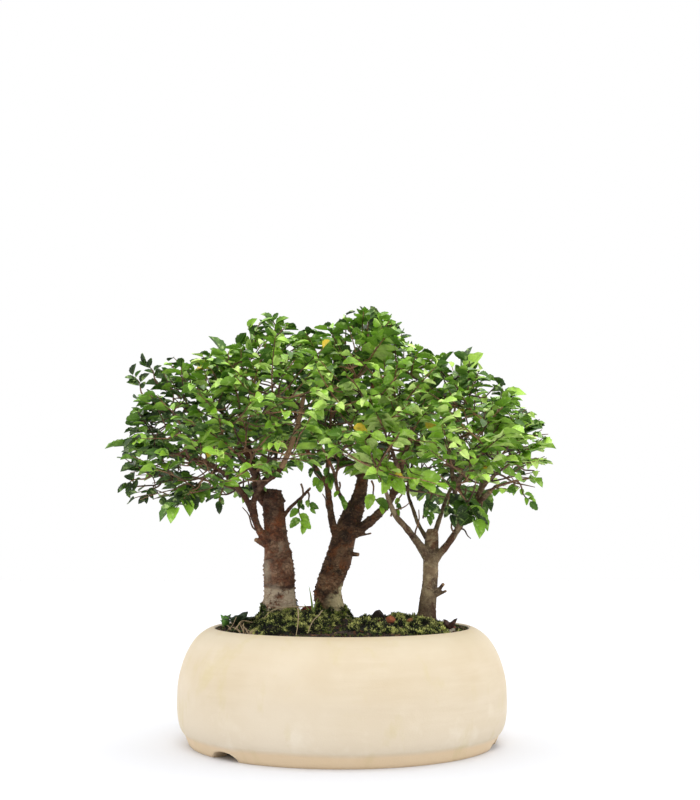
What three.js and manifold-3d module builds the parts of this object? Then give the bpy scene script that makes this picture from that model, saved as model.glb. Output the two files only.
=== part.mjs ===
// A zelkova forest bonsai: three small trees in a round, incurved stoneware pot.
// Units are millimetres, +Z is up, and the pot stands on z = 0. The front looks along +Y.
// Each leafy spray is one solid that grows on, face to face, from the end of a branch.
import * as THREE from "three";
import { mergeVertices } from "three/addons/utils/BufferGeometryUtils.js";
import Module from "manifold-3d";

const wasm = await Module();
wasm.setup();

// Driving dimensions
const GAP = 0.3; // between pieces that touch
const POT_SIDES = 40;
const FOOT_NOTCH_ANGLES = [-135, -15, 105]; // degrees from +X, one of them front left
const FOOT_NOTCH = { width: 26, height: 6.5, centreRadius: 112 };
const DRAIN_HOLE_RADIUS = 14;
const FLOOR_TOP = 12;
const SOIL_EDGE_Z = 83.5;
const SOIL_RISE = 8;
const MOSS_REACH = 93; // from the pot's axis
const SCREEN = { size: 46, thickness: 1.4, openings: 4, bar: 2.4 };
const LEAF = { length: 18, width: 11, thickness: 0.7, fold: 1.5, droop: 1.6 };
const SPRAY = { count: 46, length: 40, leaves: 9, twigRadius: 0.9, tries: 60 };
const CROWN_SEED = 20;
const LEAF_SEED = 7;
const SEED_STEP = 2654435761; // spreads the seeds of neighbouring sprays

// The pot's wall as radius and height, from the foot ring up to the rim, and back down inside
const POT_OUTSIDE = [
  [104, 5.5], [105, 0], [116, 0], [119.4, 8.2], [120.8, 9.6], [122.8, 13.4], [125, 25],
  [124.9, 40], [122.6, 54], [117.6, 68.5], [110, 79.8], [102, 86.4],
];
const POT_INSIDE = [
  [98, 87.4], [96, 85.6], [97.8, 80.6], [111.5, 65], [117, 45], [115.6, 25], [104, FLOOR_TOP],
];

// The crown's outline as the front shows it: x and height of its top edge, then of its underside
const CROWN_TOP = [
  [-174, 214], [-163, 256], [-150, 284], [-115, 300], [-82, 306], [-68, 322], [-44, 326],
  [-32, 318], [-9, 321], [12, 331], [32, 333], [48, 314], [68, 302], [107, 293], [123, 277],
  [145, 257], [161, 248], [165, 222],
];
const CROWN_UNDERSIDE = [
  [-174, 196], [-160, 180], [-110, 180], [-70, 182], [-40, 204], [-15, 213], [20, 196],
  [40, 190], [65, 180], [100, 180], [125, 188], [152, 192], [165, 204],
];
const CROWN = { centreX: -4, halfLength: 170, centreY: 4, halfDepth: 118, margin: 27 };

// Each tree: trunk points with a radius at each, root lobes as [degrees from +X, reach], cut stubs as
// [from, to, radius], and limbs as [start radius, end radius, points, "cut" if nothing grows at the end]
const TREES = {
  left: {
    centre: [-86, 0, 196],
    reach: 86,
    trunk: [
      [-47, -4, 71, 10], [-47, -4, 84, 14], [-47.4, -4, 92, 14], [-47.7, -4, 103, 12.9],
      [-47.6, -4, 116, 11.8], [-48.1, -4, 133.6, 11.6], [-49.9, -4, 151, 9.2], [-51, -4, 164, 8.4],
      [-52.1, -4, 186, 7.8], [-51.4, -4, 192, 5.2],
    ],
    lobes: [[-165, 9], [-70, 5], [20, 5], [110, 6]],
    limbs: [
      [2.9, 1.3, [[-56, -8, 150], [-62.8, -10, 161.4], [-67.1, -11, 172.7], [-72.3, -13, 184.1],
        [-85, -17, 200.6], [-102, -24, 211], [-119, -30, 216]]],
      [2.5, 1.8, [[-66.5, -11, 171], [-67, -12, 181], [-60.4, -15, 194.5], [-48.2, -18, 204.4],
        [-42.6, -20, 213.5], [-38.1, -21, 224.4], [-33.6, -22, 237.9], [-28.2, -24, 262]], "cut"],
      [4.4, 1.4, [[-55, 1, 180], [-63.6, 6, 190.2], [-68, 10, 210.5], [-74, 14, 229.5],
        [-81, 16, 260]]],
      [1.6, 1.1, [[-46, -6, 169], [-39.2, -8, 178], [-31.4, -10, 185], [-23.6, -12, 193]], "cut"],
      [2.3, 1.2, [[-70, 11, 217], [-84, 13, 228], [-101, 14, 236], [-118, 12, 242]]],
      [2.4, 1.2, [[-66, 9, 203], [-78, 30, 216], [-92, 52, 226]]],
      [2.2, 1.2, [[-64, 7, 193], [-54, 30, 212], [-52, 56, 230]]],
      [2.1, 1.2, [[-60.4, -15, 194.5], [-68, -38, 208], [-78, -58, 218]]],
      [2, 1.2, [[-75.5, 14, 234], [-88, 22, 248], [-100, 26, 258]]],
    ],
    stubs: [[[-52, -5, 146], [-66, -9, 154], 2]],
  },
  middle: {
    centre: [18, 12, 205],
    reach: 82,
    trunk: [
      [-6, 18, 71, 9], [-7, 18, 84, 12], [-8.6, 18, 95, 11.4], [-10.8, 18, 110, 10.9],
      [-9.4, 18, 120, 9.8], [-3, 18, 137.2, 10.3], [1.5, 18, 155.1, 9.2], [8.6, 18, 174, 8],
      [11.4, 18, 181, 6.4], [14.8, 18, 192.9, 4.9], [18.7, 18, 231, 3], [22.6, 16, 262, 2.2],
      [24.4, 14, 281, 1.3],
    ],
    lobes: [[-170, 6], [-95, 6], [-15, 9], [85, 6]],
    limbs: [
      [3, 1.2, [[-3, 15, 152], [-7.9, 13, 168.8], [-9.7, 11, 182], [-11.7, 9, 195.3],
        [-17.1, 6, 203], [-22.2, 4, 212], [-32.7, 2, 239], [-40, 2, 268]]],
      [1.9, 1.1, [[-11.7, 9, 195.3], [-10.9, 4, 211], [-9.3, -2, 233], [-8, -6, 256]]],
      [3.9, 1.3, [[9, 15, 159], [21.6, 8, 167.6], [30.4, 3, 175.8], [37, 0, 184], [42.8, -4, 201.5],
        [49, -8, 223], [57, -12, 246]]],
      [1.8, 1.1, [[6, 14, 176], [-2.6, -2, 190], [-6, -26, 204], [-12, -50, 216]]],
      [2.2, 1.2, [[17, 20, 212], [32, 38, 226], [46, 58, 238]]],
      [2.2, 1.2, [[15.5, 20, 200], [4, 40, 216], [-8, 62, 230]]],
      [2, 1.2, [[43.5, -5, 205], [38, -34, 216], [32, -58, 228]]],
      [1.7, 1.1, [[19.5, 18, 238], [10, 34, 256], [2, 44, 270]]],
    ],
    stubs: [[[5, 15, 155], [23, 12, 158.5], 0.9], [[2, 14, 143], [13, 8, 142], 1.8]],
  },
  right: {
    centre: [104, -8, 198],
    reach: 66,
    trunk: [
      [62.5, -12, 71, 6], [63, -12, 84, 8.2], [63.6, -12, 93.8, 7], [64.9, -12, 107.6, 6.5],
      [66.7, -12, 124.9, 5.8], [67.3, -12, 142.3, 5.8], [67.9, -12, 158, 5], [68, -12, 162, 3.4],
    ],
    lobes: [[-150, 4], [-30, 5], [60, 4]],
    limbs: [
      [3.2, 1.4, [[64, -14, 142], [55.9, -20, 152.7], [47.1, -26, 163.3], [39.3, -32, 172],
        [35, -36, 182], [30, -44, 194]]],
      [1.8, 1.1, [[66, -9, 152], [58.4, -4, 164.8], [55, 2, 175.3], [51, 12, 190], [54, 28, 206]]],
      [2.8, 2.1, [[69, -14, 138], [78.4, -18, 149.2], [85.3, -21, 159.6], [90.4, -23, 168.5],
        [96.6, -25, 176.9], [102.7, -27, 182.9], [110.4, -29, 190]], "cut"],
      [2.2, 1.2, [[94, -24, 173.5], [102, -22, 188], [111, -16, 205], [122, -10, 219]]],
      [2.3, 1.1, [[87.4, -22, 163.4], [86.6, -16, 178], [84, -12, 198.7], [82, -8, 225],
        [85, -6, 248]]],
      [2.2, 1.2, [[68, -10, 152], [76, 8, 172], [84, 28, 190], [94, 48, 206]]],
      [2, 1.2, [[84.6, -14, 192], [90, -36, 204], [98, -56, 214]]],
      [1.8, 1.1, [[103, -21.5, 190], [109, -25, 198], [116, -29, 204]]],
      [1.6, 1.1, [[83, -10, 212], [94, 4, 230], [106, 14, 244]]],
    ],
    stubs: [[[67, -14, 108], [76.5, -17, 121], 1.5], [[69, -15, 111], [78.5, -18, 115.5], 1.2]],
  },
};

// Small stones on the soil: x, y, size and turn, with a colour each
const PEBBLES = {
  pebble_red_front: { at: [36, -34], size: 4.6, turn: 0.4, colour: 0xb8542e },
  pebble_orange: { at: [50, -32], size: 3.6, turn: 1.3, colour: 0xc07a3c },
  pebble_red_middle: { at: [-27, 0], size: 5.4, turn: 2.1, colour: 0x8c3b26 },
  pebble_dark: { at: [28, -8], size: 6.2, turn: 0.9, colour: 0x3a2c26 },
  pebble_red_right: { at: [82, -18], size: 4.4, turn: 2.6, colour: 0x9a4330 },
  pebble_pale: { at: [80, -34], size: 4.2, turn: 0.2, colour: 0xb9b09a },
};

const material = (color, roughness) =>
  new THREE.MeshStandardMaterial({ color, roughness, metalness: 0 });
const STONEWARE = material(0xe9dabb, 0.75);
const SOIL = material(0x2b211b, 1);
const MOSS = material(0x3d5a22, 1);
const BARK = { left: material(0x5d463a, 0.95), middle: material(0x54392f, 0.95),
  right: material(0x65514a, 0.95) };
const FOLIAGE = [material(0x3f7f2a, 0.6), material(0x4f9432, 0.6), material(0x336b26, 0.6)];
const GRASS = material(0x86a548, 0.8);
const SCREEN_PLASTIC = material(0x26282a, 0.6);

// The same sequence of numbers from 0 to 1 for the same seed
function seeded(seed) {
  let state = seed >>> 0;
  return () => {
    state = (Math.imul(state, 1664525) + 1013904223) >>> 0;
    return state / 4294967296;
  };
}

const vec = (p) => new THREE.Vector3(p[0], p[1], p[2]);
const mix = (a, b, t) => a + (b - a) * t;

// A closed geometry as a solid that can be joined and cut
function solidOf(geometry) {
  const bare = geometry.clone();
  bare.deleteAttribute("normal");
  bare.deleteAttribute("uv");
  const merged = mergeVertices(bare, 1e-4);
  const index = merged.index.array;
  const kept = [];
  for (let i = 0; i < index.length; i += 3) {
    const [a, b, c] = [index[i], index[i + 1], index[i + 2]];
    if (a !== b && b !== c && a !== c) kept.push(a, b, c);
  }
  return new wasm.Manifold(new wasm.Mesh({
    numProp: 3,
    vertProperties: new Float32Array(merged.attributes.position.array),
    triVerts: new Uint32Array(kept),
  }));
}

function geometryOf(solid) {
  const mesh = solid.getMesh();
  const positions = new Float32Array(mesh.numVert * 3);
  for (let i = 0; i < mesh.numVert; i++) {
    positions.set(mesh.vertProperties.subarray(i * mesh.numProp, i * mesh.numProp + 3), i * 3);
  }
  const geometry = new THREE.BufferGeometry();
  geometry.setAttribute("position", new THREE.BufferAttribute(positions, 3));
  geometry.setIndex(new THREE.BufferAttribute(new Uint32Array(mesh.triVerts), 1));
  geometry.computeVertexNormals();
  return geometry;
}

const joined = (solids) => solids.reduce((all, one) => all.add(one));
const largest = (solid) =>
  solid.decompose().reduce((best, one) => (one.volume() > best.volume() ? one : best));

// A closed skin over rings of equally many points, with flat ends
function loft(rings) {
  const sides = rings[0].length;
  const positions = rings.flat().flatMap((p) => [p.x, p.y, p.z]);
  const index = [];
  for (let r = 0; r + 1 < rings.length; r++) {
    for (let s = 0; s < sides; s++) {
      const a = r * sides + s;
      const b = r * sides + ((s + 1) % sides);
      index.push(a, b, a + sides, b, b + sides, a + sides);
    }
  }
  const last = (rings.length - 1) * sides;
  for (let s = 1; s + 1 < sides; s++) {
    index.push(0, s + 1, s, last, last + s, last + s + 1);
  }
  const geometry = new THREE.BufferGeometry();
  geometry.setAttribute("position", new THREE.Float32BufferAttribute(positions, 3));
  geometry.setIndex(index);
  return geometry;
}

// A tapered round stem through points, with a radius at each. Its rings are a little uneven by knobs,
// and reach further out where lobe(turn, height) says so.
function stem(points, radii, sides, knobs = 0, lobe = null) {
  const rings = [];
  let side = null;
  points.forEach((p, i) => {
    const before = points[Math.max(i - 1, 0)];
    const after = points[Math.min(i + 1, points.length - 1)];
    const along = after.clone().sub(before).normalize();
    if (!side) side = Math.abs(along.x) < 0.8 ? new THREE.Vector3(1, 0, 0) : new THREE.Vector3(0, 1, 0);
    side = side.clone().addScaledVector(along, -side.dot(along)).normalize();
    const across = along.clone().cross(side);
    rings.push(Array.from({ length: sides }, (_, s) => {
      const turn = (2 * Math.PI * s) / sides;
      const uneven = 1 + knobs * Math.sin(3 * turn + 1.7 * i) * Math.cos(0.9 * i + turn);
      const radius = radii[i] * uneven + (lobe ? lobe(turn, p.z) : 0);
      return p.clone()
        .addScaledVector(side, Math.cos(turn) * radius)
        .addScaledVector(across, Math.sin(turn) * radius);
    }));
  });
  return solidOf(loft(rings));
}

// A turned shape: radius and height pairs swept round +Z
function turned(profile, sides) {
  const outline = profile.map(([radius, height]) => new THREE.Vector2(radius, height));
  return new THREE.LatheGeometry(outline, sides).rotateX(Math.PI / 2);
}

function outwards(geometry) {
  const solid = solidOf(geometry);
  if (solid.volume() > 0) return solid;
  const flipped = geometry.clone();
  const index = flipped.index.array;
  for (let i = 0; i < index.length; i += 3) [index[i + 1], index[i + 2]] = [index[i + 2], index[i + 1]];
  return solidOf(flipped);
}

// The pot: one turned wall with a foot ring, a drain hole, and three notches in the foot
function makePot() {
  const floorUnderside = POT_OUTSIDE[0][1];
  const profile = [[0, floorUnderside], ...POT_OUTSIDE, ...POT_INSIDE, [0, FLOOR_TOP]];
  const body = outwards(turned(profile, POT_SIDES));
  const hole = new THREE.CylinderGeometry(DRAIN_HOLE_RADIUS, DRAIN_HOLE_RADIUS, 40, 20);
  hole.rotateX(Math.PI / 2);
  const notches = FOOT_NOTCH_ANGLES.map((degrees) => {
    const arch = new THREE.CylinderGeometry(1, 1, 30, 10).rotateZ(Math.PI / 2);
    arch.scale(1, FOOT_NOTCH.width / 2, FOOT_NOTCH.height);
    arch.translate(FOOT_NOTCH.centreRadius, 0, 0);
    arch.rotateZ(THREE.MathUtils.degToRad(degrees));
    return solidOf(arch);
  });
  return body.subtract(solidOf(hole)).subtract(joined(notches));
}

// The soil's surface: a low mound with clods
function soilHeight(x, y) {
  const radius = Math.hypot(x, y) / 96;
  const clods = 0.7 * Math.sin(x * 0.21 + 1.3) * Math.cos(y * 0.19 - 0.4) + 0.4 * Math.sin((x + y) * 0.47);
  return SOIL_EDGE_Z + SOIL_RISE * (1 - radius * radius) + clods * Math.min(1, 4 * (1 - radius));
}

function makeSoil(lift) {
  const inset = POT_INSIDE.slice(2).map(([radius, height]) => [radius - GAP - 0.15, height + GAP]);
  const wall = inset.filter(([, height]) => height < SOIL_EDGE_Z - 2).reverse();
  const topRings = [95.4, 82, 64, 44, 22, 0];
  const profile = [[0, FLOOR_TOP + GAP], ...wall, ...topRings.map((radius) => [radius, SOIL_EDGE_Z])];
  const geometry = turned(profile, POT_SIDES / 2);
  const position = geometry.attributes.position;
  for (let i = 0; i < position.count; i++) {
    if (position.getZ(i) === Math.fround(SOIL_EDGE_Z) || position.getZ(i) > SOIL_EDGE_Z - 0.01) {
      position.setZ(i, soilHeight(position.getX(i), position.getY(i)) + lift);
    }
  }
  return outwards(geometry);
}

// A moss cushion: a bumpy dome over an uneven round patch, with its foot on the soil
function makeMoss(centre, radii, thickness, phase) {
  const sides = 14;
  const steps = [1, 0.82, 0.4];
  const edge = (turn) => 1 + 0.09 * Math.sin(3 * turn + phase) + 0.06 * Math.sin(5 * turn - 2 * phase);
  const ring = (share, height) => Array.from({ length: sides }, (_, s) => {
    const turn = (2 * Math.PI * s) / sides;
    const reach = [Math.cos(turn) * radii[0], Math.sin(turn) * radii[1]];
    const far = reach.map((value, i) => centre[i] + value * edge(turn));
    const inside = Math.min(1, MOSS_REACH / Math.hypot(...far));
    const [x, y] = far.map((value, i) => mix(centre[i], value * inside, share));
    const bumps = 0.9 * Math.sin(x * 0.55 + phase) * Math.cos(y * 0.6) * Math.min(1, 3 * (1 - share));
    return new THREE.Vector3(x, y, soilHeight(x, y) + height + bumps);
  });
  const top = steps.map((share) => ring(share, thickness * Math.sqrt(1 - 0.94 * share * share)));
  return solidOf(loft([ring(0.97, -6), ...top]));
}

// A trunk, with its roots as lobes that spread towards the soil; grow makes it larger all round
function makeTrunk(tree, points, grow) {
  const lobe = (turn, height) => {
    const low = THREE.MathUtils.clamp((101 - height) / 12, 0, 1) * (height < 75 ? 0.5 : 1);
    return low * tree.lobes.reduce((sum, [degrees, reach]) => {
      const near = Math.max(0, Math.cos(turn - THREE.MathUtils.degToRad(degrees)));
      return sum + reach * near ** 5;
    }, 0);
  };
  const line = points.map(vec);
  line[0].z -= grow;
  return stem(line, points.map((p) => p[3] + grow), 14, 0.03, lobe);
}

// The crown's envelope and the places of its sprays
function lineAt(line, x) {
  const next = line.findIndex(([at]) => at > x);
  if (next <= 0) return next === 0 ? line[0][1] : line[line.length - 1][1];
  const [x0, z0] = line[next - 1];
  const [x1, z1] = line[next];
  return mix(z0, z1, (x - x0) / (x1 - x0));
}

function crownPoint(random) {
  for (;;) {
    const length = CROWN.halfLength - CROWN.margin;
    const x = CROWN.centreX + (2 * random() - 1) * length;
    const depth = (CROWN.halfDepth - CROWN.margin) * Math.sqrt(1 - ((x - CROWN.centreX) / (length + 6)) ** 2);
    const across = Math.sin((random() - 0.5) * Math.PI);
    const low = lineAt(CROWN_UNDERSIDE, x) + CROWN.margin * 0.45;
    const dome = Math.sqrt(1 - 0.8 * across * across);
    const high = low + (lineAt(CROWN_TOP, x) - CROWN.margin * 0.7 - low) * dome;
    const height = random();
    if (high > low) return [x, CROWN.centreY + across * depth, mix(low, high, 1 - height * height)];
  }
}

const distance = (a, b) => Math.hypot(a[0] - b[0], a[1] - b[1], a[2] - b[2]);

// Places spread as evenly as random tries allow, away from the ones that are taken already
function crownPoints(count, taken) {
  const random = seeded(CROWN_SEED);
  const chosen = [...taken];
  while (chosen.length < taken.length + count) {
    let best = null;
    let bestGap = -1;
    for (let t = 0; t < SPRAY.tries; t++) {
      const point = crownPoint(random);
      const gap = chosen.reduce((least, other) => Math.min(least, distance(point, other)), 1e9);
      if (gap > bestGap) [best, bestGap] = [point, gap];
    }
    chosen.push(best);
  }
  return chosen.slice(taken.length);
}

// A limb's centre line in steps of about 20
function limbPath(points) {
  const curve = new THREE.CatmullRomCurve3(points.map(vec), false, "centripetal");
  return curve.getSpacedPoints(Math.max(3, Math.round(curve.getLength() / 20)));
}

// Knots on a line of points, at its corners and half way between, where a branch may leave
function knotsOn(path, from, to, first) {
  const knots = [];
  for (let i = first; i < path.length; i++) {
    const along = path[i].clone().sub(path[i - 1]).normalize();
    [0.5, 1].forEach((t) => {
      const radius = mix(from, to, (i - 1 + t) / (path.length - 1));
      knots.push({ p: path[i - 1].clone().lerp(path[i], t), along, radius });
    });
  }
  return knots;
}

function knotsOf(tree) {
  const knots = tree.limbs.flatMap(([from, to, points, end]) =>
    knotsOn(limbPath(points), from, to, 2).slice(0, end === "cut" ? undefined : -1));
  tree.trunk.filter((p) => p[2] > 225 && p[2] < 270).forEach((p) => {
    knots.push({ p: vec(p), along: new THREE.Vector3(0, 0, 1), radius: p[3] });
  });
  return knots;
}

// The ends of limbs and leader that a spray grows on
function limbEnds() {
  return Object.entries(TREES).flatMap(([name, tree]) => {
    const lines = tree.limbs.filter((limb) => limb[3] !== "cut").map((limb) => limbPath(limb[2]));
    if (tree.trunk.at(-1)[2] > 225) lines.push(tree.trunk.map(vec));
    return lines.map((line) => {
      const base = line.at(-1).clone();
      return { tree: name, base, out: base.clone().sub(line.at(-2)).normalize() };
    });
  });
}

// The tree whose crown a place belongs to
function nearestTree([x, y]) {
  const far = ({ centre, reach }) => Math.hypot(x - centre[0], y - centre[1]) / reach;
  return Object.keys(TREES).reduce((best, one) => (far(TREES[one]) < far(TREES[best]) ? one : best));
}

// The branch that carries each spray, from the nearest knot that it can grow from without turning back
function growBranches(spots) {
  const knots = Object.fromEntries(Object.entries(TREES).map(([name, tree]) => [name, knotsOf(tree)]));
  return spots.map((spot) => {
    const name = nearestTree(spot);
    const out = vec(spot).sub(vec(TREES[name].centre));
    out.z = out.z * 0.55 + 6;
    out.normalize();
    const base = vec(spot).addScaledVector(out, -0.5 * SPRAY.length);
    let best = null;
    let bestCost = 1e9;
    knots[name].forEach((knot) => {
      const way = base.clone().sub(knot.p);
      const length = way.length();
      const turn = 1 - way.normalize().dot(knot.along);
      const back = 1 - way.dot(out);
      const steep = length < 9 || way.z < -0.4;
      const cost = length * (1 + 0.25 * turn + 0.35 * back) + (steep ? 40 : 0);
      if (cost < bestCost) [best, bestCost] = [knot, cost];
    });
    const length = base.distanceTo(best.p);
    const leave = best.p.clone().addScaledVector(best.along, length * 0.3);
    const arrive = base.clone().addScaledVector(out, -length * 0.35);
    const curve = new THREE.CubicBezierCurve3(best.p, leave, arrive, base);
    const from = Math.min(0.8 * best.radius, 0.95 + 0.012 * length);
    const path = [0, 0.5, 1].map((t) => curve.getPoint(t));
    const branch = { tree: name, path, from, base, out: base.clone().sub(path[1]).normalize() };
    knots[name].push(...knotsOn(branch.path, from, SPRAY.twigRadius, 1).slice(1, 3));
    return branch;
  });
}

// A leaf blade: a pointed oval cut with a shoulder a side, flat at its base and folded beyond
const LEAF_EDGE = [[0.36, 0.5, 0], [0.74, 0.36, 1]];

function makeLeaf(base, along, up, length, width, grow) {
  const across = up.clone().cross(along).normalize();
  const normal = along.clone().cross(across).normalize();
  const point = (u, v, rise) => base.clone()
    .addScaledVector(along, u * (length + grow))
    .addScaledVector(across, v * (width + 2 * grow))
    .addScaledVector(normal, rise * LEAF.fold - u * u * LEAF.droop);
  const outline = [
    point(0, 0, 0),
    ...LEAF_EDGE.map(([u, v, rise]) => point(u, v, rise)),
    point(1, 0, 0),
    ...LEAF_EDGE.map(([u, v, rise]) => point(u, -v, rise)).reverse(),
  ];
  const half = LEAF.thickness / 2 + grow;
  const upper = outline.map((p) => p.clone().addScaledVector(normal, half));
  const lower = outline.map((p) => p.clone().addScaledVector(normal, -half));
  const n = outline.length;
  const face = [[0, 1, 5], [1, 2, 3], [1, 3, 5], [3, 4, 5]];
  const index = [];
  face.forEach(([a, b, c]) => index.push(a, c, b, n + a, n + b, n + c));
  for (let i = 0; i < n; i++) {
    const j = (i + 1) % n;
    index.push(i, j, n + i, j, n + j, n + i);
  }
  const geometry = new THREE.BufferGeometry();
  const positions = [...upper, ...lower].flatMap((p) => [p.x, p.y, p.z]);
  geometry.setAttribute("position", new THREE.Float32BufferAttribute(positions, 3));
  geometry.setIndex(index);
  return outwards(geometry);
}

const boxOf = (solid) => {
  const { min, max } = solid.boundingBox();
  return new THREE.Box3(new THREE.Vector3(...min), new THREE.Vector3(...max));
};

// True where a solid keeps clear of all the others
function clear(solid, others) {
  const box = boxOf(solid);
  return others.every((other) =>
    !box.intersectsBox(other.box) || solid.intersect(other.solid).volume() < 1e-6);
}

// A flat leafy spray: a curved twig with leaves on alternate sides and one at its tip
function makeSpray(branch, random, others) {
  const { out } = branch;
  const up = new THREE.Vector3(0, 0, 1).addScaledVector(out, -out.z).normalize()
    .addScaledVector(new THREE.Vector3(out.y, -out.x, 0), 0.5 * (random() - 0.5)).normalize();
  const side = out.clone().cross(up).normalize();
  const start = branch.base.clone().addScaledVector(out, GAP);
  const radii = [1, 0.85, 0.7, 0.55].map((share) => share * SPRAY.twigRadius);
  const foreign = others.filter((other) => other.tree !== branch.tree);
  const solids = [];
  let at = null;
  for (const [sway, droop] of [[4 * random() - 2, -4], [0, 6], [8, 0], [-8, 0], [0, -12]]) {
    at = (t) => start.clone().addScaledVector(out, t * SPRAY.length)
      .addScaledVector(side, sway * t * t).addScaledVector(up, droop * t * t);
    const steps = [0, 0.35, 0.7, 1].map(at);
    const twig = stem(steps, radii, 3);
    if (clear(twig, others) && clear(stem(steps, radii.map((r) => r + GAP), 3), foreign)) {
      solids.push(twig);
      break;
    }
  }
  if (!solids.length) return null;
  const own = [];
  for (let k = 0; k < SPRAY.leaves; k++) {
    const tip = k === SPRAY.leaves - 1;
    const t = 0.16 + (0.8 * k) / (SPRAY.leaves - 1);
    const hand = k % 2 ? 1 : -1;
    const size = 0.84 + 0.3 * random();
    const swing = tip ? 0.1 : mix(1.05, 0.6, t) + 0.3 * (random() - 0.5);
    const lean = 0.9 * (random() - 0.5);
    for (const more of [0, 0.35, -0.35, 0.7, -0.7]) {
      const along = out.clone().multiplyScalar(Math.cos(swing)).addScaledVector(side, hand * Math.sin(swing))
        .addScaledVector(up, more * 0.8 - 0.12).normalize();
      const face = up.clone().addScaledVector(side, lean + more * 0.4).normalize();
      const base = tip ? at(0.97) : at(t);
      const measures = [base, along, face, LEAF.length * size, LEAF.width * size];
      const leaf = makeLeaf(...measures, 0);
      if (clear(makeLeaf(...measures, GAP), others) && clear(leaf, own)) {
        solids.push(leaf);
        own.push({ solid: leaf, box: boxOf(leaf) });
        break;
      }
    }
  }
  return largest(joined(solids));
}

// A tree's wood: trunk, limbs, cut stubs and the branches that carry sprays
function makeWood(name, branches) {
  const tree = TREES[name];
  const solids = [makeTrunk(tree, tree.trunk, 0)];
  tree.limbs.forEach(([from, to, points]) => {
    const path = limbPath(points);
    solids.push(stem(path, path.map((_, i) => mix(from, to, i / (path.length - 1))), 5));
  });
  tree.stubs.forEach(([from, to, radius]) => {
    solids.push(stem([vec(from), vec(to)], [radius * 1.2, radius * 0.8], 5));
  });
  branches.filter((branch) => branch.tree === name).forEach((branch) => {
    const radii = [0, 0.5, 1].map((t) => mix(branch.from, SPRAY.twigRadius, t));
    solids.push(stem(branch.path, radii, 3));
  });
  return joined(solids);
}

// A stone: a squashed, uneven icosahedron, sunk a third into what it lies on
function makePebble({ at, size, turn }, grow) {
  const geometry = new THREE.IcosahedronGeometry(size + grow, 0);
  geometry.scale(1, 0.8, 0.72);
  geometry.rotateZ(turn);
  geometry.rotateX(turn * 0.4);
  return solidOf(geometry.translate(at[0], at[1], pebbleHeight(at) + size * 0.25));
}

const MOSS_PATCHES = {
  moss_left: { centre: [-40, -30], radii: [36, 42], thickness: 8.5, phase: 0.4 },
  moss_right: { centre: [45, -28], radii: [40, 44], thickness: 6, phase: 2.2 },
};

const inPatch = ([x, y], { centre, radii }) =>
  Math.hypot((x - centre[0]) / radii[0], (y - centre[1]) / radii[1]) < 0.85;

function pebbleHeight(at) {
  const patch = Object.values(MOSS_PATCHES).find((one) => inPatch(at, one));
  return soilHeight(at[0], at[1]) + (patch ? patch.thickness * 0.7 : 0);
}

// A tuft of three grass blades on one short foot
function makeGrass(grow) {
  const foot = new THREE.Vector3(-22, -12, soilHeight(-22, -12) + 1);
  const blades = [[-3, -2, 27, 1.1], [4, -5, 18, 1], [-7, 3, 13, 0.9]];
  return joined(blades.map(([dx, dy, height, radius]) => {
    const at = (t) => new THREE.Vector3(dx * t * t, dy * t * t, height * t).add(foot);
    const line = [0, 0.4, 0.75, 1].map(at);
    line[0].z -= grow;
    return stem(line, [radius, radius * 0.9, radius * 0.6, 0.35].map((r) => r + grow), 3);
  }));
}

// A square of plastic mesh over the drain hole
function makeScreen(grow) {
  const { size, thickness, openings, bar } = SCREEN;
  const z = FLOOR_TOP + GAP + thickness / 2 + grow / 2;
  const slab = (width, height, x, y) =>
    solidOf(new THREE.BoxGeometry(width, width, height).translate(x, y, z));
  const plate = slab(size + 2 * grow, thickness + grow, 0, 0);
  if (grow) return plate;
  const cell = (size - bar) / openings;
  const places = Array.from({ length: openings }, (_, i) => (i + 0.5) * cell - (size - bar) / 2);
  const holes = places.flatMap((x) => places.map((y) => slab(cell - bar, 3 * thickness, x, y)));
  return plate.subtract(joined(holes));
}

// Assembly
const root = new THREE.Group();
function place(name, solid, look) {
  const mesh = new THREE.Mesh(geometryOf(solid), look);
  mesh.name = name;
  root.add(mesh);
}

const ends = limbEnds();
const taken = ends.map(({ base, out }) => base.clone().addScaledVector(out, SPRAY.length / 2).toArray());
const grown = growBranches(crownPoints(SPRAY.count - ends.length, taken));
const feet = joined(Object.values(TREES).map((tree) => makeTrunk(tree, tree.trunk.slice(0, 4), GAP * 1.15)));
const pebbleHoles = joined(Object.values(PEBBLES).map((pebble) => makePebble(pebble, GAP)));
const grassHole = makeGrass(GAP);

place("pot", makePot(), STONEWARE);
place("drain_screen", makeScreen(0), SCREEN_PLASTIC);
const soil = makeSoil(0).subtract(makeScreen(GAP)).subtract(feet).subtract(pebbleHoles).subtract(grassHole);
place("soil", largest(soil), SOIL);

const soilBelow = makeSoil(GAP);
let earlierMoss = null;
Object.entries(MOSS_PATCHES).forEach(([name, patch]) => {
  let moss = makeMoss(patch.centre, patch.radii, patch.thickness, patch.phase)
    .subtract(soilBelow).subtract(feet).subtract(pebbleHoles).subtract(grassHole);
  if (earlierMoss) moss = moss.subtract(earlierMoss);
  earlierMoss = makeMoss(patch.centre, patch.radii.map((r) => r + 0.5), patch.thickness + 1, patch.phase);
  place(name, largest(moss), MOSS);
});
Object.entries(PEBBLES).forEach(([name, pebble]) => {
  place(name, makePebble(pebble, 0), material(pebble.colour, 0.95));
});
place("grass_tuft", makeGrass(0), GRASS);

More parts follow.
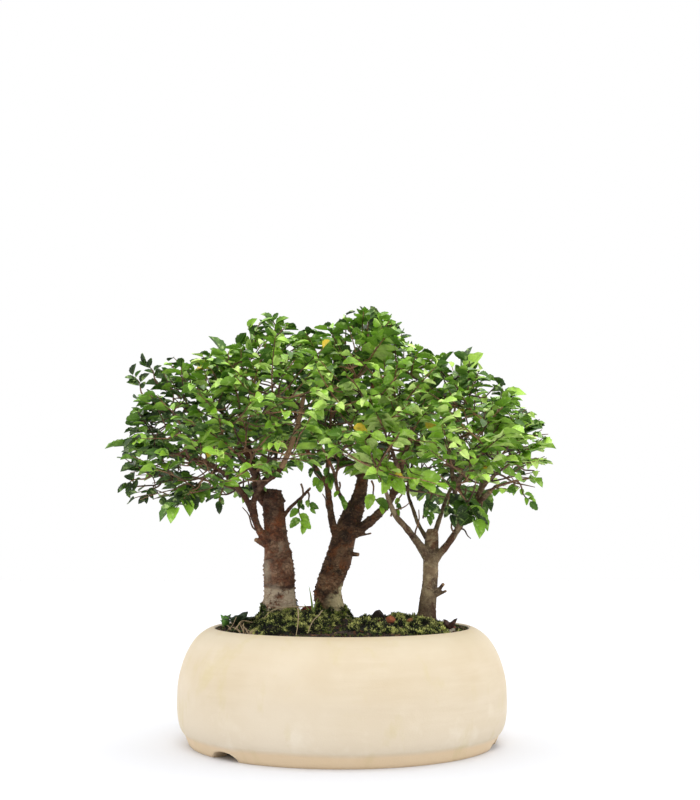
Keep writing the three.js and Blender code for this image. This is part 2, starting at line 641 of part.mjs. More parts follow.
const others = [];
Object.keys(TREES).forEach((name) => {
  const wood = makeWood(name, grown);
  others.push({ tree: name, solid: wood, box: boxOf(wood) });
  place(`wood_${name}`, wood, BARK[name]);
});
[...ends, ...grown].forEach((branch, i) => {
  const spray = makeSpray(branch, seeded(Math.imul(i + LEAF_SEED, SEED_STEP)), others);
  const number = String(i + 1).padStart(2, "0");
  if (!spray) {
    console.log(`no room for spray ${number}`);
    return;
  }
  others.push({ tree: "spray", solid: spray, box: boxOf(spray) });
  place(`spray_${branch.tree}_${number}`, spray, FOLIAGE[i % FOLIAGE.length]);
});

// The origin is on the ground, in the middle of the space that the whole part takes
const whole = new THREE.Box3().setFromObject(root);
const middle = whole.getCenter(new THREE.Vector3());
root.position.set(-middle.x, -middle.y, 0);

export default root;
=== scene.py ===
"""A zelkova forest bonsai in a round stoneware pot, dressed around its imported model."""
import math

import bmesh
import bpy
import numpy as np
from mathutils import Matrix, Vector, kdtree, noise


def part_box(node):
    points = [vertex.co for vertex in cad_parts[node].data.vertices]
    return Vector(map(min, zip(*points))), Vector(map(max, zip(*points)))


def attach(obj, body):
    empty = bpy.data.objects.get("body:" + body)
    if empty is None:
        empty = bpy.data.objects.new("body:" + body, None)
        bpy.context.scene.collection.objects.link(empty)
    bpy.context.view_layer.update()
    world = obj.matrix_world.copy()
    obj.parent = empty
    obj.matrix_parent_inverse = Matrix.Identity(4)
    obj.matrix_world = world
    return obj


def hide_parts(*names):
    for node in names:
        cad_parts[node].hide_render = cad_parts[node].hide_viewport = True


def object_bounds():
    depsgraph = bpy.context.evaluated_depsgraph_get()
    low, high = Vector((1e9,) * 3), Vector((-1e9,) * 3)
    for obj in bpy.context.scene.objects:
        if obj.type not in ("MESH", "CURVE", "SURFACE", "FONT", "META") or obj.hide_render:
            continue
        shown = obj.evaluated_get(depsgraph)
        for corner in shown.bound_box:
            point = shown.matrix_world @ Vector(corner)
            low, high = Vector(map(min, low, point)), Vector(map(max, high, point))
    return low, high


bl_info = {
    "name": "Zelkova Forest Bonsai",
    "version": (1, 0, 0),
    "blender": (4, 5, 0),
    "location": "3D View > Sidebar > Bonsai",
    "description": "Pot, soil, moss, trunks, twigs and leaves of a small forest planting",
    "category": "Object",
}

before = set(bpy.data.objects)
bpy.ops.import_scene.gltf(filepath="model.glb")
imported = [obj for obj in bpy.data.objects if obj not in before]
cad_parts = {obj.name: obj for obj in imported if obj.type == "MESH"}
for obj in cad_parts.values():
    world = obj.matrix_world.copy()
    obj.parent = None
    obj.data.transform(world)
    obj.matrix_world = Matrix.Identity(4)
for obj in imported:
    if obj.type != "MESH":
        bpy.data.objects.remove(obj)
CAD_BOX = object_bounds()
BODY = "root"
MM = 0.001
POT_LOW, POT_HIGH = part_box("pot")
AXIS = np.array([(POT_LOW.x + POT_HIGH.x) / 2, (POT_LOW.y + POT_HIGH.y) / 2, 0.0])


# ---- the plan of the planting, in millimetres from the pot's axis ----

POT_OUTSIDE = [
    (104, 5.5), (104.4, 0.5), (105, 0), (115.6, 0), (116.3, 0.7), (119.2, 7.6), (119.9, 9.1),
    (120.8, 9.9), (121.6, 10.9), (122.8, 13.4), (124.2, 18.5), (125, 26), (125, 36), (124.5, 46),
    (122.2, 57), (118, 68.5), (111.4, 79), (105.4, 84.2), (101.2, 86.5),
]
POT_INSIDE = [
    (98.8, 87.3), (97.2, 87.2), (96.1, 86), (96.1, 84.6), (97.8, 80.6), (105, 73), (111.5, 65),
    (115.2, 56), (117, 45), (117, 34), (115.6, 25), (111, 17), (104, 12),
]
NOTCH_ANGLES = (-135, -15, 105)
NOTCH_HALF_WIDTH, NOTCH_HEIGHT = 13.0, 6.2
DRAIN_RADIUS = 14.0
SOIL_EDGE_Z, SOIL_RISE, SOIL_BOTTOM = 83.5, 8.0, 14.2

CROWN_TOP = [
    (-174, 214), (-163, 256), (-150, 284), (-115, 300), (-82, 306), (-68, 322), (-44, 326),
    (-32, 318), (-9, 321), (12, 331), (32, 333), (48, 314), (68, 302), (107, 293), (123, 277),
    (145, 257), (161, 248), (165, 222),
]
CROWN_UNDERSIDE = [
    (-174, 196), (-160, 180), (-110, 180), (-70, 182), (-40, 204), (-15, 213), (20, 196),
    (40, 190), (65, 180), (100, 180), (125, 188), (152, 192), (165, 204),
]
CROWN = {"centre_x": -4, "half_length": 170, "centre_y": 4, "half_depth": 118}
CROWN_SEED, LEAF_SEED = 20, 7
EYE_DISTANCE, EYE_HEIGHT = 956, 161
SOLID_MARGIN, SOLID_TRIES, SOLID_COUNT = 27, 60, 46
SOLID_SPRAY = {"length": 40, "leaves": 9, "twig": 0.9, "leaf": 18, "width": 11}

TREES = {
    "left": {
        "centre": (-86, 0, 196), "reach": 86,
        "trunk": [
            (-47, -4, 71, 10), (-47, -4, 84, 14), (-47.4, -4, 92, 14), (-47.7, -4, 103, 12.9),
            (-47.6, -4, 116, 11.8), (-48.1, -4, 133.6, 11.6), (-49.9, -4, 151, 9.2),
            (-51, -4, 164, 8.4), (-52.1, -4, 186, 7.8), (-51.4, -4, 192, 5.2),
        ],
        "lobes": [(-165, 9), (-70, 5), (20, 5), (110, 6)],
        "limbs": [
            (2.9, 1.3, [(-56, -8, 150), (-62.8, -10, 161.4), (-67.1, -11, 172.7),
                        (-72.3, -13, 184.1), (-85, -17, 200.6), (-102, -24, 211), (-119, -30, 216)], 0),
            (2.5, 1.8, [(-66.5, -11, 171), (-67, -12, 181), (-60.4, -15, 194.5), (-48.2, -18, 204.4),
                        (-42.6, -20, 213.5), (-38.1, -21, 224.4), (-33.6, -22, 237.9),
                        (-28.2, -24, 262)], "cut"),
            (4.4, 1.4, [(-55, 1, 180), (-63.6, 6, 190.2), (-68, 10, 210.5), (-74, 14, 229.5),
                        (-81, 16, 260)], 0),
            (1.6, 1.1, [(-46, -6, 169), (-39.2, -8, 178), (-31.4, -10, 185), (-23.6, -12, 193)], "cut"),
            (2.3, 1.2, [(-70, 11, 217), (-84, 13, 228), (-101, 14, 236), (-118, 12, 242)], 0),
            (2.4, 1.2, [(-66, 9, 203), (-78, 30, 216), (-92, 52, 226)], 0),
            (2.2, 1.2, [(-64, 7, 193), (-54, 30, 212), (-52, 56, 230)], 0),
            (2.1, 1.2, [(-60.4, -15, 194.5), (-68, -38, 208), (-78, -58, 218)], 0),
            (2, 1.2, [(-75.5, 14, 234), (-88, 22, 248), (-100, 26, 258)], 0),
        ],
        "stubs": [((-52, -5, 146), (-66, -9, 154), 2)],
    },
    "middle": {
        "centre": (18, 12, 205), "reach": 82,
        "trunk": [
            (-6, 18, 71, 9), (-7, 18, 84, 12), (-8.6, 18, 95, 11.4), (-10.8, 18, 110, 10.9),
            (-9.4, 18, 120, 9.8), (-3, 18, 137.2, 10.3), (1.5, 18, 155.1, 9.2), (8.6, 18, 174, 8),
            (11.4, 18, 181, 6.4), (14.8, 18, 192.9, 4.9), (18.7, 18, 231, 3), (22.6, 16, 262, 2.2),
            (24.4, 14, 281, 1.3),
        ],
        "lobes": [(-170, 6), (-95, 6), (-15, 9), (85, 6)],
        "limbs": [
            (3, 1.2, [(-3, 15, 152), (-7.9, 13, 168.8), (-9.7, 11, 182), (-11.7, 9, 195.3),
                      (-17.1, 6, 203), (-22.2, 4, 212), (-32.7, 2, 239), (-40, 2, 268)], 0),
            (1.9, 1.1, [(-11.7, 9, 195.3), (-10.9, 4, 211), (-9.3, -2, 233), (-8, -6, 256)], 0),
            (3.9, 1.3, [(9, 15, 159), (21.6, 8, 167.6), (30.4, 3, 175.8), (37, 0, 184),
                        (42.8, -4, 201.5), (49, -8, 223), (57, -12, 246)], 0),
            (1.8, 1.1, [(6, 14, 176), (-2.6, -2, 190), (-6, -26, 204), (-12, -50, 216)], 0),
            (2.2, 1.2, [(17, 20, 212), (32, 38, 226), (46, 58, 238)], 0),
            (2.2, 1.2, [(15.5, 20, 200), (4, 40, 216), (-8, 62, 230)], 0),
            (2, 1.2, [(43.5, -5, 205), (38, -34, 216), (32, -58, 228)], 0),
            (1.7, 1.1, [(19.5, 18, 238), (10, 34, 256), (2, 44, 270)], 0),
        ],
        "stubs": [((5, 15, 155), (23, 12, 158.5), 0.9), ((2, 14, 143), (13, 8, 142), 1.8)],
    },
    "right": {
        "centre": (104, -8, 198), "reach": 66,
        "trunk": [
            (62.5, -12, 71, 6), (63, -12, 84, 8.2), (63.6, -12, 93.8, 7), (64.9, -12, 107.6, 6.5),
            (66.7, -12, 124.9, 5.8), (67.3, -12, 142.3, 5.8), (67.9, -12, 158, 5), (68, -12, 162, 3.4),
        ],
        "lobes": [(-150, 4), (-30, 5), (60, 4)],
        "limbs": [
            (3.2, 1.4, [(64, -14, 142), (55.9, -20, 152.7), (47.1, -26, 163.3), (39.3, -32, 172),
                        (35, -36, 182), (30, -44, 194)], 0),
            (1.8, 1.1, [(66, -9, 152), (58.4, -4, 164.8), (55, 2, 175.3), (51, 12, 190), (54, 28, 206)], 0),
            (2.8, 2.1, [(69, -14, 138), (78.4, -18, 149.2), (85.3, -21, 159.6), (90.4, -23, 168.5),
                        (96.6, -25, 176.9), (102.7, -27, 182.9), (110.4, -29, 190)], "cut"),
            (2.2, 1.2, [(94, -24, 173.5), (102, -22, 188), (111, -16, 205), (122, -10, 219)], 0),
            (2.3, 1.1, [(87.4, -22, 163.4), (86.6, -16, 178), (84, -12, 198.7), (82, -8, 225),
                        (85, -6, 248)], 0),
            (2.2, 1.2, [(68, -10, 152), (76, 8, 172), (84, 28, 190), (94, 48, 206)], 0),
            (2, 1.2, [(84.6, -14, 192), (90, -36, 204), (98, -56, 214)], 0),
            (1.8, 1.1, [(103, -21.5, 190), (109, -25, 198), (116, -29, 204)], 0),
            (1.6, 1.1, [(83, -10, 212), (94, 4, 230), (106, 14, 244)], 0),
        ],
        "stubs": [((67, -14, 108), (76.5, -17, 121), 1.5), ((69, -15, 111), (78.5, -18, 115.5), 1.2)],
    },
}

# Twigs that hang below the crown or stand up at its top, single yellow leaves, and bare twigs: tree, start,
# direction, length, leaves and their size
HANGING = [
    ("left", (-31, -11, 196), (-0.02, -0.2, -1), 30, 7, 9.5),
    ("left", (-26, -13, 190), (0.15, -0.3, -0.8), 12, 3, 9),
    ("left", (-142, -24, 202), (-0.8, 0, -0.25), 21, 7, 7.5),
    ("left", (-134, -30, 196), (-0.6, -0.2, -0.45), 15, 5, 7.5),
    ("left", (-112, -34, 196), (-0.5, -0.2, -0.6), 13, 4, 8),
    ("left", (-88, -36, 193), (-0.2, -0.2, -0.8), 12, 4, 8),
    ("left", (-150, -6, 262), (-0.35, -0.1, 1), 18, 7, 8.5),
    ("left", (-140, -4, 272), (-0.3, 0, 0.8), 17, 7, 8.5),
    ("left", (-50, -6, 306), (-0.05, -0.1, 1), 16, 7, 9.5),
    ("left", (-22, -18, 214), (0.1, -0.2, -1), 15, 4, 9),
    ("middle", (-10, -18, 214), (-0.1, -0.2, -1), 15, 4, 9),
    ("middle", (-2, -20, 197), (-0.1, -0.3, -1), 13, 3, 9),
    ("middle", (22, -20, 198), (0.05, -0.3, -1), 19, 3, 11),
    ("middle", (24, -64, 212), (0.25, -0.35, -0.6), 20, 5, 14.5),
    ("middle", (42, -66, 211), (0.3, -0.3, -0.5), 20, 5, 15),
    ("middle", (34, -50, 218), (-0.2, -0.5, -0.4), 18, 5, 14),
    ("middle", (20, -6, 308), (0.1, -0.15, 1), 17, 8, 10),
    ("middle", (29, -4, 308), (0.15, -0.1, 1), 17, 8, 10),
    ("middle", (24, 6, 310), (0.1, 0, 1), 16, 7, 9.5),
    ("middle", (40, -2, 296), (0.35, 0, 1), 16, 7, 9.5),
    ("left", (-64, -8, 300), (-0.1, -0.1, 1), 14, 6, 9.5),
    ("middle", (34, -74, 204), (0.6, -0.3, -0.3), 4, 1, 11),
    ("middle", (4, -78, 236), (0.7, -0.3, -0.1), 4, 1, 10),
    ("left", (-96, -62, 223), (0.1, -0.3, -1), 3, 1, 8.5),
    ("right", (36, -32, 171), (0.6, -0.1, 0.8), 17, 0, 0),
    ("right", (57, -21, 152), (-0.3, -0.3, 1), 24, 0, 0),
    ("right", (62, 0, 170), (0.5, -0.4, 1), 18, 0, 0),
    ("right", (89, -23, 162), (0.8, -0.1, -0.5), 10, 0, 0),
    ("right", (84, -22, 159), (-0.4, -0.2, 1), 18, 0, 0),
    ("middle", (-9, 10, 176), (-0.5, -0.5, 0.6), 16, 0, 0),
    ("left", (-63, -11, 160), (-0.7, -0.3, 0.7), 22, 0, 0),
    ("right", (45, -24, 193), (-0.1, -0.2, -1), 16, 3, 8.5),
    ("right", (66, -24, 194), (0.05, -0.2, -1), 22, 5, 11.5),
    ("right", (78, -26, 188), (0.3, -0.2, -1), 15, 3, 10.5),
    ("right", (92, -26, 192), (-0.1, -0.1, -1), 10, 2, 10),
    ("right", (103, -28, 184), (0, -0.1, -1), 17, 2, 8.5),
    ("right", (130, -20, 198), (0.5, 0, -0.6), 18, 5, 8.5),
]

# Thin roots on the soil: thickness, then points as x, y and height above the soil
ROOT_STRANDS = [
    (0.7, (-34, -16, 13), (-33, -24, 12.5), (-32.4, -34, 12), (-31.6, -50, 10.5), (-31.4, -66, 7),
     (-32, -84, 3)),
    (0.55, (-14, -10, 6), (-15, -24, 10), (-17, -40, 9), (-21, -58, 7), (-24, -78, 3)),
    (0.8, (-62, -12, 8), (-70, -26, 8), (-76, -40, 6), (-80, -46, 2)),
    (0.5, (-28, -22, 13), (-44, -24, 14), (-52, -28, 12.5), (-58, -40, 9)),
    (0.5, (-66, -34, 6), (-72, -40, 9), (-75, -46, 8), (-77, -50, 2)),
    (0.4, (-84, -36, 3), (-80, -42, 7), (-78, -44, 11), (-77, -45, 13)),
]
# Weeds: x, y, height above the soil, leaves, their length and width, darker and lighter colour, tilt
WEEDS = {
    "weed_dark_leaf": (-77, -32, 5, 10, 13, 9, (22, 34, 16), (48, 74, 30), 0.6),
    "weed_sprout": (-87, -22, 3, 6, 10, 6, (60, 110, 40), (120, 170, 66), 1.05),
    "weed_liverwort": (-77, -46, 2.8, 4, 7, 6, (40, 74, 30), (84, 124, 50), 0.15),
    "weed_dry_flake": (80, -30, 1, 4, 10, 6, (44, 26, 20), (86, 46, 34), 0.9),
}
# Leaf templates: name, teeth, curl, fold, and how far back the blade is broadest
BLADES = (
    ("blade_round", 7, 0.2, 0.36, 0.82),
    ("blade_long", 8, 0.34, 0.46, 0.95),
    ("blade_flat", 7, 0.12, 0.2, 0.88),
)
# Bark: material, dark, middle, light, rust and lichen colours, and how strong the level stripes are
BARK_LOOKS = {
    "left": ("Rough Brown Bark", (46, 31, 24), (118, 76, 54), (160, 127, 100),
             (136, 78, 46), (202, 184, 158), 0.45),
    "middle": ("Rough Dark Bark", (36, 26, 20), (115, 81, 57), (166, 132, 100),
               (144, 88, 50), (222, 206, 162), 0.5),
    "right": ("Smooth Grey Bark", (62, 45, 35), (147, 124, 94), (192, 172, 134),
              (112, 78, 54), (200, 188, 154), 0.3),
}

MOSS_REACH = 93
MOSS_PATCHES = {
    "left": {"centre": (-40, -30), "radii": (36, 42), "thick": 8.5, "phase": 0.4},
    "right": {"centre": (45, -28), "radii": (40, 44), "thick": 6.0, "phase": 2.2},
}
# Loose grains: x, y, size and colour
GRIT = {
    "pebble_red_front": (36, -34, 4.6, (0.50, 0.15, 0.06)),
    "pebble_orange": (50, -32, 3.6, (0.55, 0.24, 0.08)),
    "pebble_red_middle": (-27, 0, 5.4, (0.28, 0.06, 0.03)),
    "pebble_dark": (28, -8, 6.2, (0.06, 0.04, 0.03)),
    "pebble_red_right": (82, -18, 4.4, (0.36, 0.08, 0.05)),
    "pebble_pale": (80, -34, 4.2, (0.52, 0.46, 0.35)),
}

UP = np.array([0, 0, 1.0])
STREWN_KINDS = 4
SEED_SPREAD, VARY_SEED = 2654435761, 0x5BD1E995
YELLOW_TINT = 0.995
FINE_TWIG = 0.62


# ---- numbers, lines and growth ----

def noise_three(p):
    """Three separate noises at one place. (The library's own vector noise isn't the same from run to run.)"""
    return Vector(noise.noise(p + Vector(shift)) for shift in ((9.3, -1.5, -7.9), (0, 0, 0), (-6.4, 3.1, 5.2)))


def seeded(seed):
    state = [seed & 0xFFFFFFFF]

    def draw():
        state[0] = (state[0] * 1664525 + 1013904223) & 0xFFFFFFFF
        return state[0] / 4294967296

    return draw


def mix(a, b, t):
    return a + (b - a) * t


def taper(a, b, count):
    """Values from a to b in even steps."""
    return [mix(a, b, t) for t in np.linspace(0, 1, count)]


def clamp(x, low=0.0, high=1.0):
    return float(np.clip(x, low, high))


def unit(v):
    return v / max(float(np.linalg.norm(v)), 1e-9)


def vec(p):
    return np.array(p[:3], float)


def smooth_line(points, step, wanted=None):
    """A rounded line through points, as evenly spaced points about one step apart."""
    pts = [vec(p) for p in points]
    n = len(pts)

    def at(t):
        p = (n - 1) * t
        i = min(int(math.floor(p)), n - 2)
        w = p - i
        p1, p2 = pts[i], pts[i + 1]
        p0 = pts[i - 1] if i > 0 else 2 * pts[0] - pts[1]
        p3 = pts[i + 2] if i + 2 < n else 2 * pts[-1] - pts[-2]
        d0, d1, d2 = (float(np.dot(b - a, b - a)) ** 0.25 for a, b in ((p0, p1), (p1, p2), (p2, p3)))
        d1 = 1.0 if d1 < 1e-4 else d1
        d0 = d1 if d0 < 1e-4 else d0
        d2 = d1 if d2 < 1e-4 else d2
        t1 = ((p1 - p0) / d0 - (p2 - p0) / (d0 + d1) + (p2 - p1) / d1) * d1
        t2 = ((p2 - p1) / d1 - (p3 - p1) / (d1 + d2) + (p3 - p2) / d2) * d1
        return p1 + t1 * w + (-3 * p1 + 3 * p2 - 2 * t1 - t2) * w**2 + (2 * p1 - 2 * p2 + t1 + t2) * w**3

    fine = np.array([at(i / 200) for i in range(201)])
    lengths = np.concatenate([[0], np.cumsum(np.linalg.norm(np.diff(fine, axis=0), axis=1))])
    count = wanted or max(3, round(lengths[-1] / step))
    spots = np.interp(np.linspace(0, lengths[-1], count + 1), lengths, np.arange(201) / 200)
    return [at(t) for t in spots]


def bezier(a, b, c, d, t):
    return a * (1 - t) ** 3 + 3 * b * t * (1 - t) ** 2 + 3 * c * t * t * (1 - t) + d * t**3


def line_at(line, x):
    return float(np.interp(x, [p[0] for p in line], [p[1] for p in line]))


def crown_point(draw, margin):
    while True:
        length = CROWN["half_length"] - margin
        x = CROWN["centre_x"] + (2 * draw() - 1) * length
        depth = (CROWN["half_depth"] - margin) * math.sqrt(
            1 - ((x - CROWN["centre_x"]) / (length + 6)) ** 2)
        across = math.sin((draw() - 0.5) * math.pi)
        low = line_at(CROWN_UNDERSIDE, x) + margin * 0.45
        dome = math.sqrt(1 - 0.8 * across * across)
        high = low + (line_at(CROWN_TOP, x) - margin * 0.7 - low) * dome
        height = draw()
        if high > low:
            return np.array([x, CROWN["centre_y"] + across * depth, mix(low, high, 1 - height * height)])


def seen(p):
    """Where a place shows from the front, on the upright plane through the pot's axis."""
    nearness = 1 + p[1] / EYE_DISTANCE
    return p[0] / nearness, EYE_HEIGHT + (p[2] - EYE_HEIGHT) / nearness


def crown_share(p):
    """How high a place shows in the crown from the front, from 0 at its underside to 1 at its top edge."""
    x, z = seen(p)
    low, high = line_at(CROWN_UNDERSIDE, x), line_at(CROWN_TOP, x)
    beyond = max(CROWN_TOP[0][0] - x, x - CROWN_TOP[-1][0] + 3)
    return -1.0 if beyond > 0 else (z - low) / (high - low)


PALE_LIMB = [q for q in smooth_line(TREES["left"]["limbs"][1][2], 5) if q[2] > 208]


def hides_pale_limb(p):
    """True where a leaf would stand before the pale cut limb that shows in the middle of the crown."""
    x, z = seen(p)
    return any(p[1] < q[1] and math.hypot(x - seen(q)[0], z - seen(q)[1]) < 6.5 for q in PALE_LIMB)


def near(p, x, z, wide, tall):
    """1 at a place seen from the front, fading to 0 around it."""
    return math.exp(-((p[0] - x) / wide) ** 2 - ((p[2] - z) / tall) ** 2)


def shows_inside(p, below=0.0, above=1.0):
    return below <= crown_share(p) <= above


def in_box(points, inset=0.3):
    """True where all the points stay inside the solid model's box."""
    places, (low, high) = to_metres(points), np.array(CAD_BOX)
    return bool(np.all(places > low + inset * MM) and np.all(places < high - inset * MM))


def leaf_in_box(leaf):
    across, along, _ = leaf["axes"]
    middle, half = leaf["base"] + along * leaf["length"] * 0.45, across * leaf["width"] * 0.5
    return in_box([leaf["base"] + along * leaf["length"], middle + half, middle - half], 1.3)


def crown_points(draw, count, taken, margin, tries, fits=lambda p: True):
    """Places spread as evenly as random tries allow, away from the ones that are taken already."""
    chosen = np.empty((len(taken) + count, 3))
    chosen[: len(taken)] = taken
    for filled in range(len(taken), len(chosen)):
        best, best_gap = None, -1.0
        for _ in range(tries):
            point = crown_point(draw, margin)
            while not fits(point):
                point = crown_point(draw, margin)
            gap = float(np.min(np.sum((chosen[:filled] - point) ** 2, axis=1))) if filled else 1e9
            if gap > best_gap:
                best, best_gap = point, gap
        chosen[filled] = best
    return chosen[len(taken):]


def knots_on(path, start, end, first):
    """Places on a limb or a branch where another may leave: place, direction and thickness."""
    knots = []
    for i in range(first, len(path)):
        along = unit(path[i] - path[i - 1])
        for t in (0.5, 1):
            knots.append((mix(path[i - 1], path[i], t), along, mix(start, end, (i - 1 + t) / (len(path) - 1))))
    return knots


def best_knot(knots, base, out):
    """Where a branch to a place leaves best: near it, without sharp turns, and not from above it."""
    place, along = (np.array([knot[k] for knot in knots]) for k in (0, 1))
    way = base - place
    length = np.linalg.norm(way, axis=1)
    way = way / np.maximum(length, 1e-9)[:, None]
    turn, back = 1 - np.sum(way * along, axis=1), 1 - way @ out
    steep = (length < 9) | (way[:, 2] < -0.4)
    cost = length * (1 + 0.25 * turn + 0.35 * back) + np.where(steep, 40, 0)
    return knots[int(np.argmin(cost))]


def outwards_from(name, spot):
    out = spot - vec(TREES[name]["centre"])
    out[2] = out[2] * 0.55 + 6
    return unit(out)


def nearest_tree(spot):
    def far(name):
        centre, reach = TREES[name]["centre"], TREES[name]["reach"]
        return math.hypot(spot[0] - centre[0], spot[1] - centre[1]) / reach

    return min(TREES, key=far)


def grow_branch(knots, name, spot, length_of_spray, tip_radius, steps):
    out = outwards_from(name, spot)
    base = spot - 0.5 * length_of_spray * out
    start, along, radius = best_knot(knots[name], base, out)
    length = float(np.linalg.norm(base - start))
    leave, arrive = start + along * length * 0.3, base - out * length * 0.35
    path = [bezier(start, leave, arrive, base, i / steps) for i in range(steps + 1)]
    thick = min(0.8 * radius, 0.95 + 0.012 * length)
    return {"tree": name, "path": path, "from": thick, "to": min(tip_radius, thick), "base": base,
            "out": unit(base - path[-2])}


def grow_planting(fine_count):
    """Limbs' end sprays, the solid model's branches, and then many finer ones."""
    knots, ends = {}, []
    for name, tree in TREES.items():
        found = []
        for start, end, points, cut in tree["limbs"]:
            path = smooth_line(points, 20)
            on = knots_on(path, start, end, 2)
            found += on if cut else on[:-1]
            if not cut:
                ends.append({"tree": name, "base": path[-1], "out": unit(path[-1] - path[-2])})
        for p in tree["trunk"]:
            if 225 < p[2] < 270:
                found.append((vec(p), UP, p[3]))
        if tree["trunk"][-1][2] > 225:
            a, b = vec(tree["trunk"][-2]), vec(tree["trunk"][-1])
            ends.append({"tree": name, "base": b, "out": unit(b - a)})
        knots[name] = found
    length = SOLID_SPRAY["length"]
    draw = seeded(CROWN_SEED)
    taken = [e["base"] + e["out"] * length / 2 for e in ends]
    spots = crown_points(draw, SOLID_COUNT - len(ends), taken, SOLID_MARGIN, SOLID_TRIES)
    branches = []
    for spot in spots:
        name = nearest_tree(spot)
        branch = grow_branch(knots, name, spot, length, SOLID_SPRAY["twig"], 2)
        knots[name] += knots_on(branch["path"], branch["from"], SOLID_SPRAY["twig"], 1)[1:3]
        branches.append(branch)
    main = ends + branches
    for spray in main:
        knots[spray["tree"]] += [(spray["base"] + spray["out"] * length * t, spray["out"], 0.75)
                                 for t in (0.25, 0.5, 0.75)]
    taken = np.array([s["base"] + s["out"] * length / 2 for s in main])
    fine = []
    draw = seeded(CROWN_SEED + 1)
    for spot in crown_points(draw, fine_count, taken, 12, 12, lambda p: shows_inside(p, 0.07, 0.93)):
        name = nearest_tree(spot)
        size = 19 + 9 * draw()
        branch = grow_branch(knots, name, spot, size, FINE_TWIG, 5)
        branch["length"] = size
        knots[name] += knots_on(branch["path"], branch["from"], FINE_TWIG, 2)[1:6:2]
        fine.append(branch)
    return main, branches, fine


def spray_frame(spray, draw):
    out = spray["out"]
    up = unit(UP - out * out[2])
    up = unit(up + np.array([out[1], -out[0], 0]) * 0.5 * (draw() - 0.5))
    return out, up, unit(np.cross(out, up))


def leaf_entry(base, along, face, length, width, tint, spray):
    across = unit(np.cross(along, face))
    return {"base": base, "axes": (across, along, np.cross(across, along)), "length": length, "width": width,
            "tint": tint, "tree": spray["tree"]}


def spray_leaves(spray, draw, vary):
    """Twig points and leaves of a spray; draw repeats the solid model's numbers, vary gives the rest."""
    out, up, side = spray_frame(spray, draw)
    main = "length" not in spray
    length = SOLID_SPRAY["length"] if main else spray["length"]
    sway = 4 * draw() - 2
    droop = -4 if main else 1.5 - 6 * vary()

    def at(t):
        return spray["base"] + out * length * t + side * sway * t * t + up * droop * t * t

    centre = vec(TREES[spray["tree"]]["centre"])
    leaves, end = [], 0.3
    count = SOLID_SPRAY["leaves"] if main else 6 + int(vary() * 3)
    for k in range(count):
        tip = k == count - 1
        t = 0.16 + 0.8 * k / (count - 1)
        hand = 1 if k % 2 else -1
        size = 0.84 + 0.3 * draw()
        swing = 0.1 if tip else mix(1.05, 0.6, t) + 0.3 * (draw() - 0.5)
        lean = 0.9 * (draw() - 0.5)
        along = unit(out * math.cos(swing) + side * hand * math.sin(swing) - up * 0.12)
        base = at(0.97 if tip else t)
        if main:
            face, long, wide = unit(up + side * lean), SOLID_SPRAY["leaf"] * size, SOLID_SPRAY["width"] * size
        else:
            along, face, long, wide = fine_leaf(base - centre, along, up, side, lean, vary)
        full = (0.27 + 1.6 * max(0.0, crown_share(base))) * (1 - 0.6 * near(base, -150, 192, 34, 24))
        fits_twig = shows_inside(base, 0.03, 0.9) and in_box([base], 3)
        fits = vary() < full and shows_inside(base + along * long, -0.1, 1.0)
        if main or (fits and not hides_pale_limb(base + along * long * 0.5)):
            leaves.append(leaf_entry(base, along, face, long, wide, vary(), spray))
            end = 1.0 if tip else t
        elif fits_twig and vary() < 0.5:
            end = max(end, t)
    if main:
        for k in range(8):
            t = 0.14 + 0.11 * k
            hand = -1 if k % 2 else 1
            along = unit(out * 0.6 + side * hand * (0.3 + 0.5 * vary()) + up * (1.2 * vary() - 0.5))
            along, face, long, wide = fine_leaf(at(t) - centre, along, up, side, vary() - 0.5, vary)
            leaves.append(leaf_entry(at(t), along, face, long, wide, vary(), spray))
    while not in_box([at(end)], 1) and end > 0.3:
        end -= 0.05
    return [at(end * i / 6) for i in range(7)], leaves


def hanging_leaves(tree, base, way, length, count, long, draw):
    """A thin twig with its leaves facing the front, where the crown's underside lets one show."""
    out = unit(vec(way))
    side = unit(np.cross(out, np.array([0, 1.0, 0])))
    bend, wave = side * length * (0.8 * draw() - 0.4), side * length * 0.06
    line = [vec(base) + out * length * t + bend * t * t + wave * math.sin(7 * t) for t in np.linspace(0, 1, 9)]
    tree, leaves = {"tree": tree}, []
    for k in range(count):
        t = 1 - 0.8 * ((count - 1 - k) / count) ** 1.2
        hand = 0 if k == count - 1 else (1 if k % 2 else -1)
        along = out + side * hand * (0.4 + 0.9 * draw())
        along = unit(along + np.array([0.5 * draw(), -0.3, 0.1 - 0.6 * draw()]))
        face = np.array([1.6 * draw() - 0.8, -1.0, 1.4 * draw()])
        size = long * (0.65 + 0.6 * draw())
        tint = YELLOW_TINT + 0.004 if count == 1 else 0.15 + 0.55 * draw()
        leaves.append(leaf_entry(line[round(t * 8)], along, unit(face - along * np.dot(face, along)), size,
                                 size * 0.6, tint, tree))
    return line, leaves


def fine_leaf(from_centre, along, up, side, lean, vary):
    """Direction, face and size of a leaf whose face looks up and out of the crown, more or less."""
    flat = np.array([1, 1, 0.6])
    lit = unit(from_centre * flat + UP * 26)
    stray = np.array([vary() - 0.5, vary() - 0.5, vary() - 0.5])
    along = unit((along + stray * 0.9) * flat - UP * 0.15 * vary())
    face = unit(up * 0.8 + lit * (0.25 + vary()) + side * 1.3 * lean + stray[::-1] * 1.6)
    long = 7.6 + 6.2 * vary()
    return along, unit(face - along * np.dot(face, along)), long, long * (0.5 + 0.14 * vary())


def leaf_seed(i):
    return ((i + LEAF_SEED) * SEED_SPREAD) & 0xFFFFFFFF


# ---- meshes ----

def to_metres(points):
    return np.asarray(points, float) * MM + AXIS


def linked(name, data):
    obj = bpy.data.objects.new(name, data)
    bpy.context.scene.collection.objects.link(obj)
    return obj


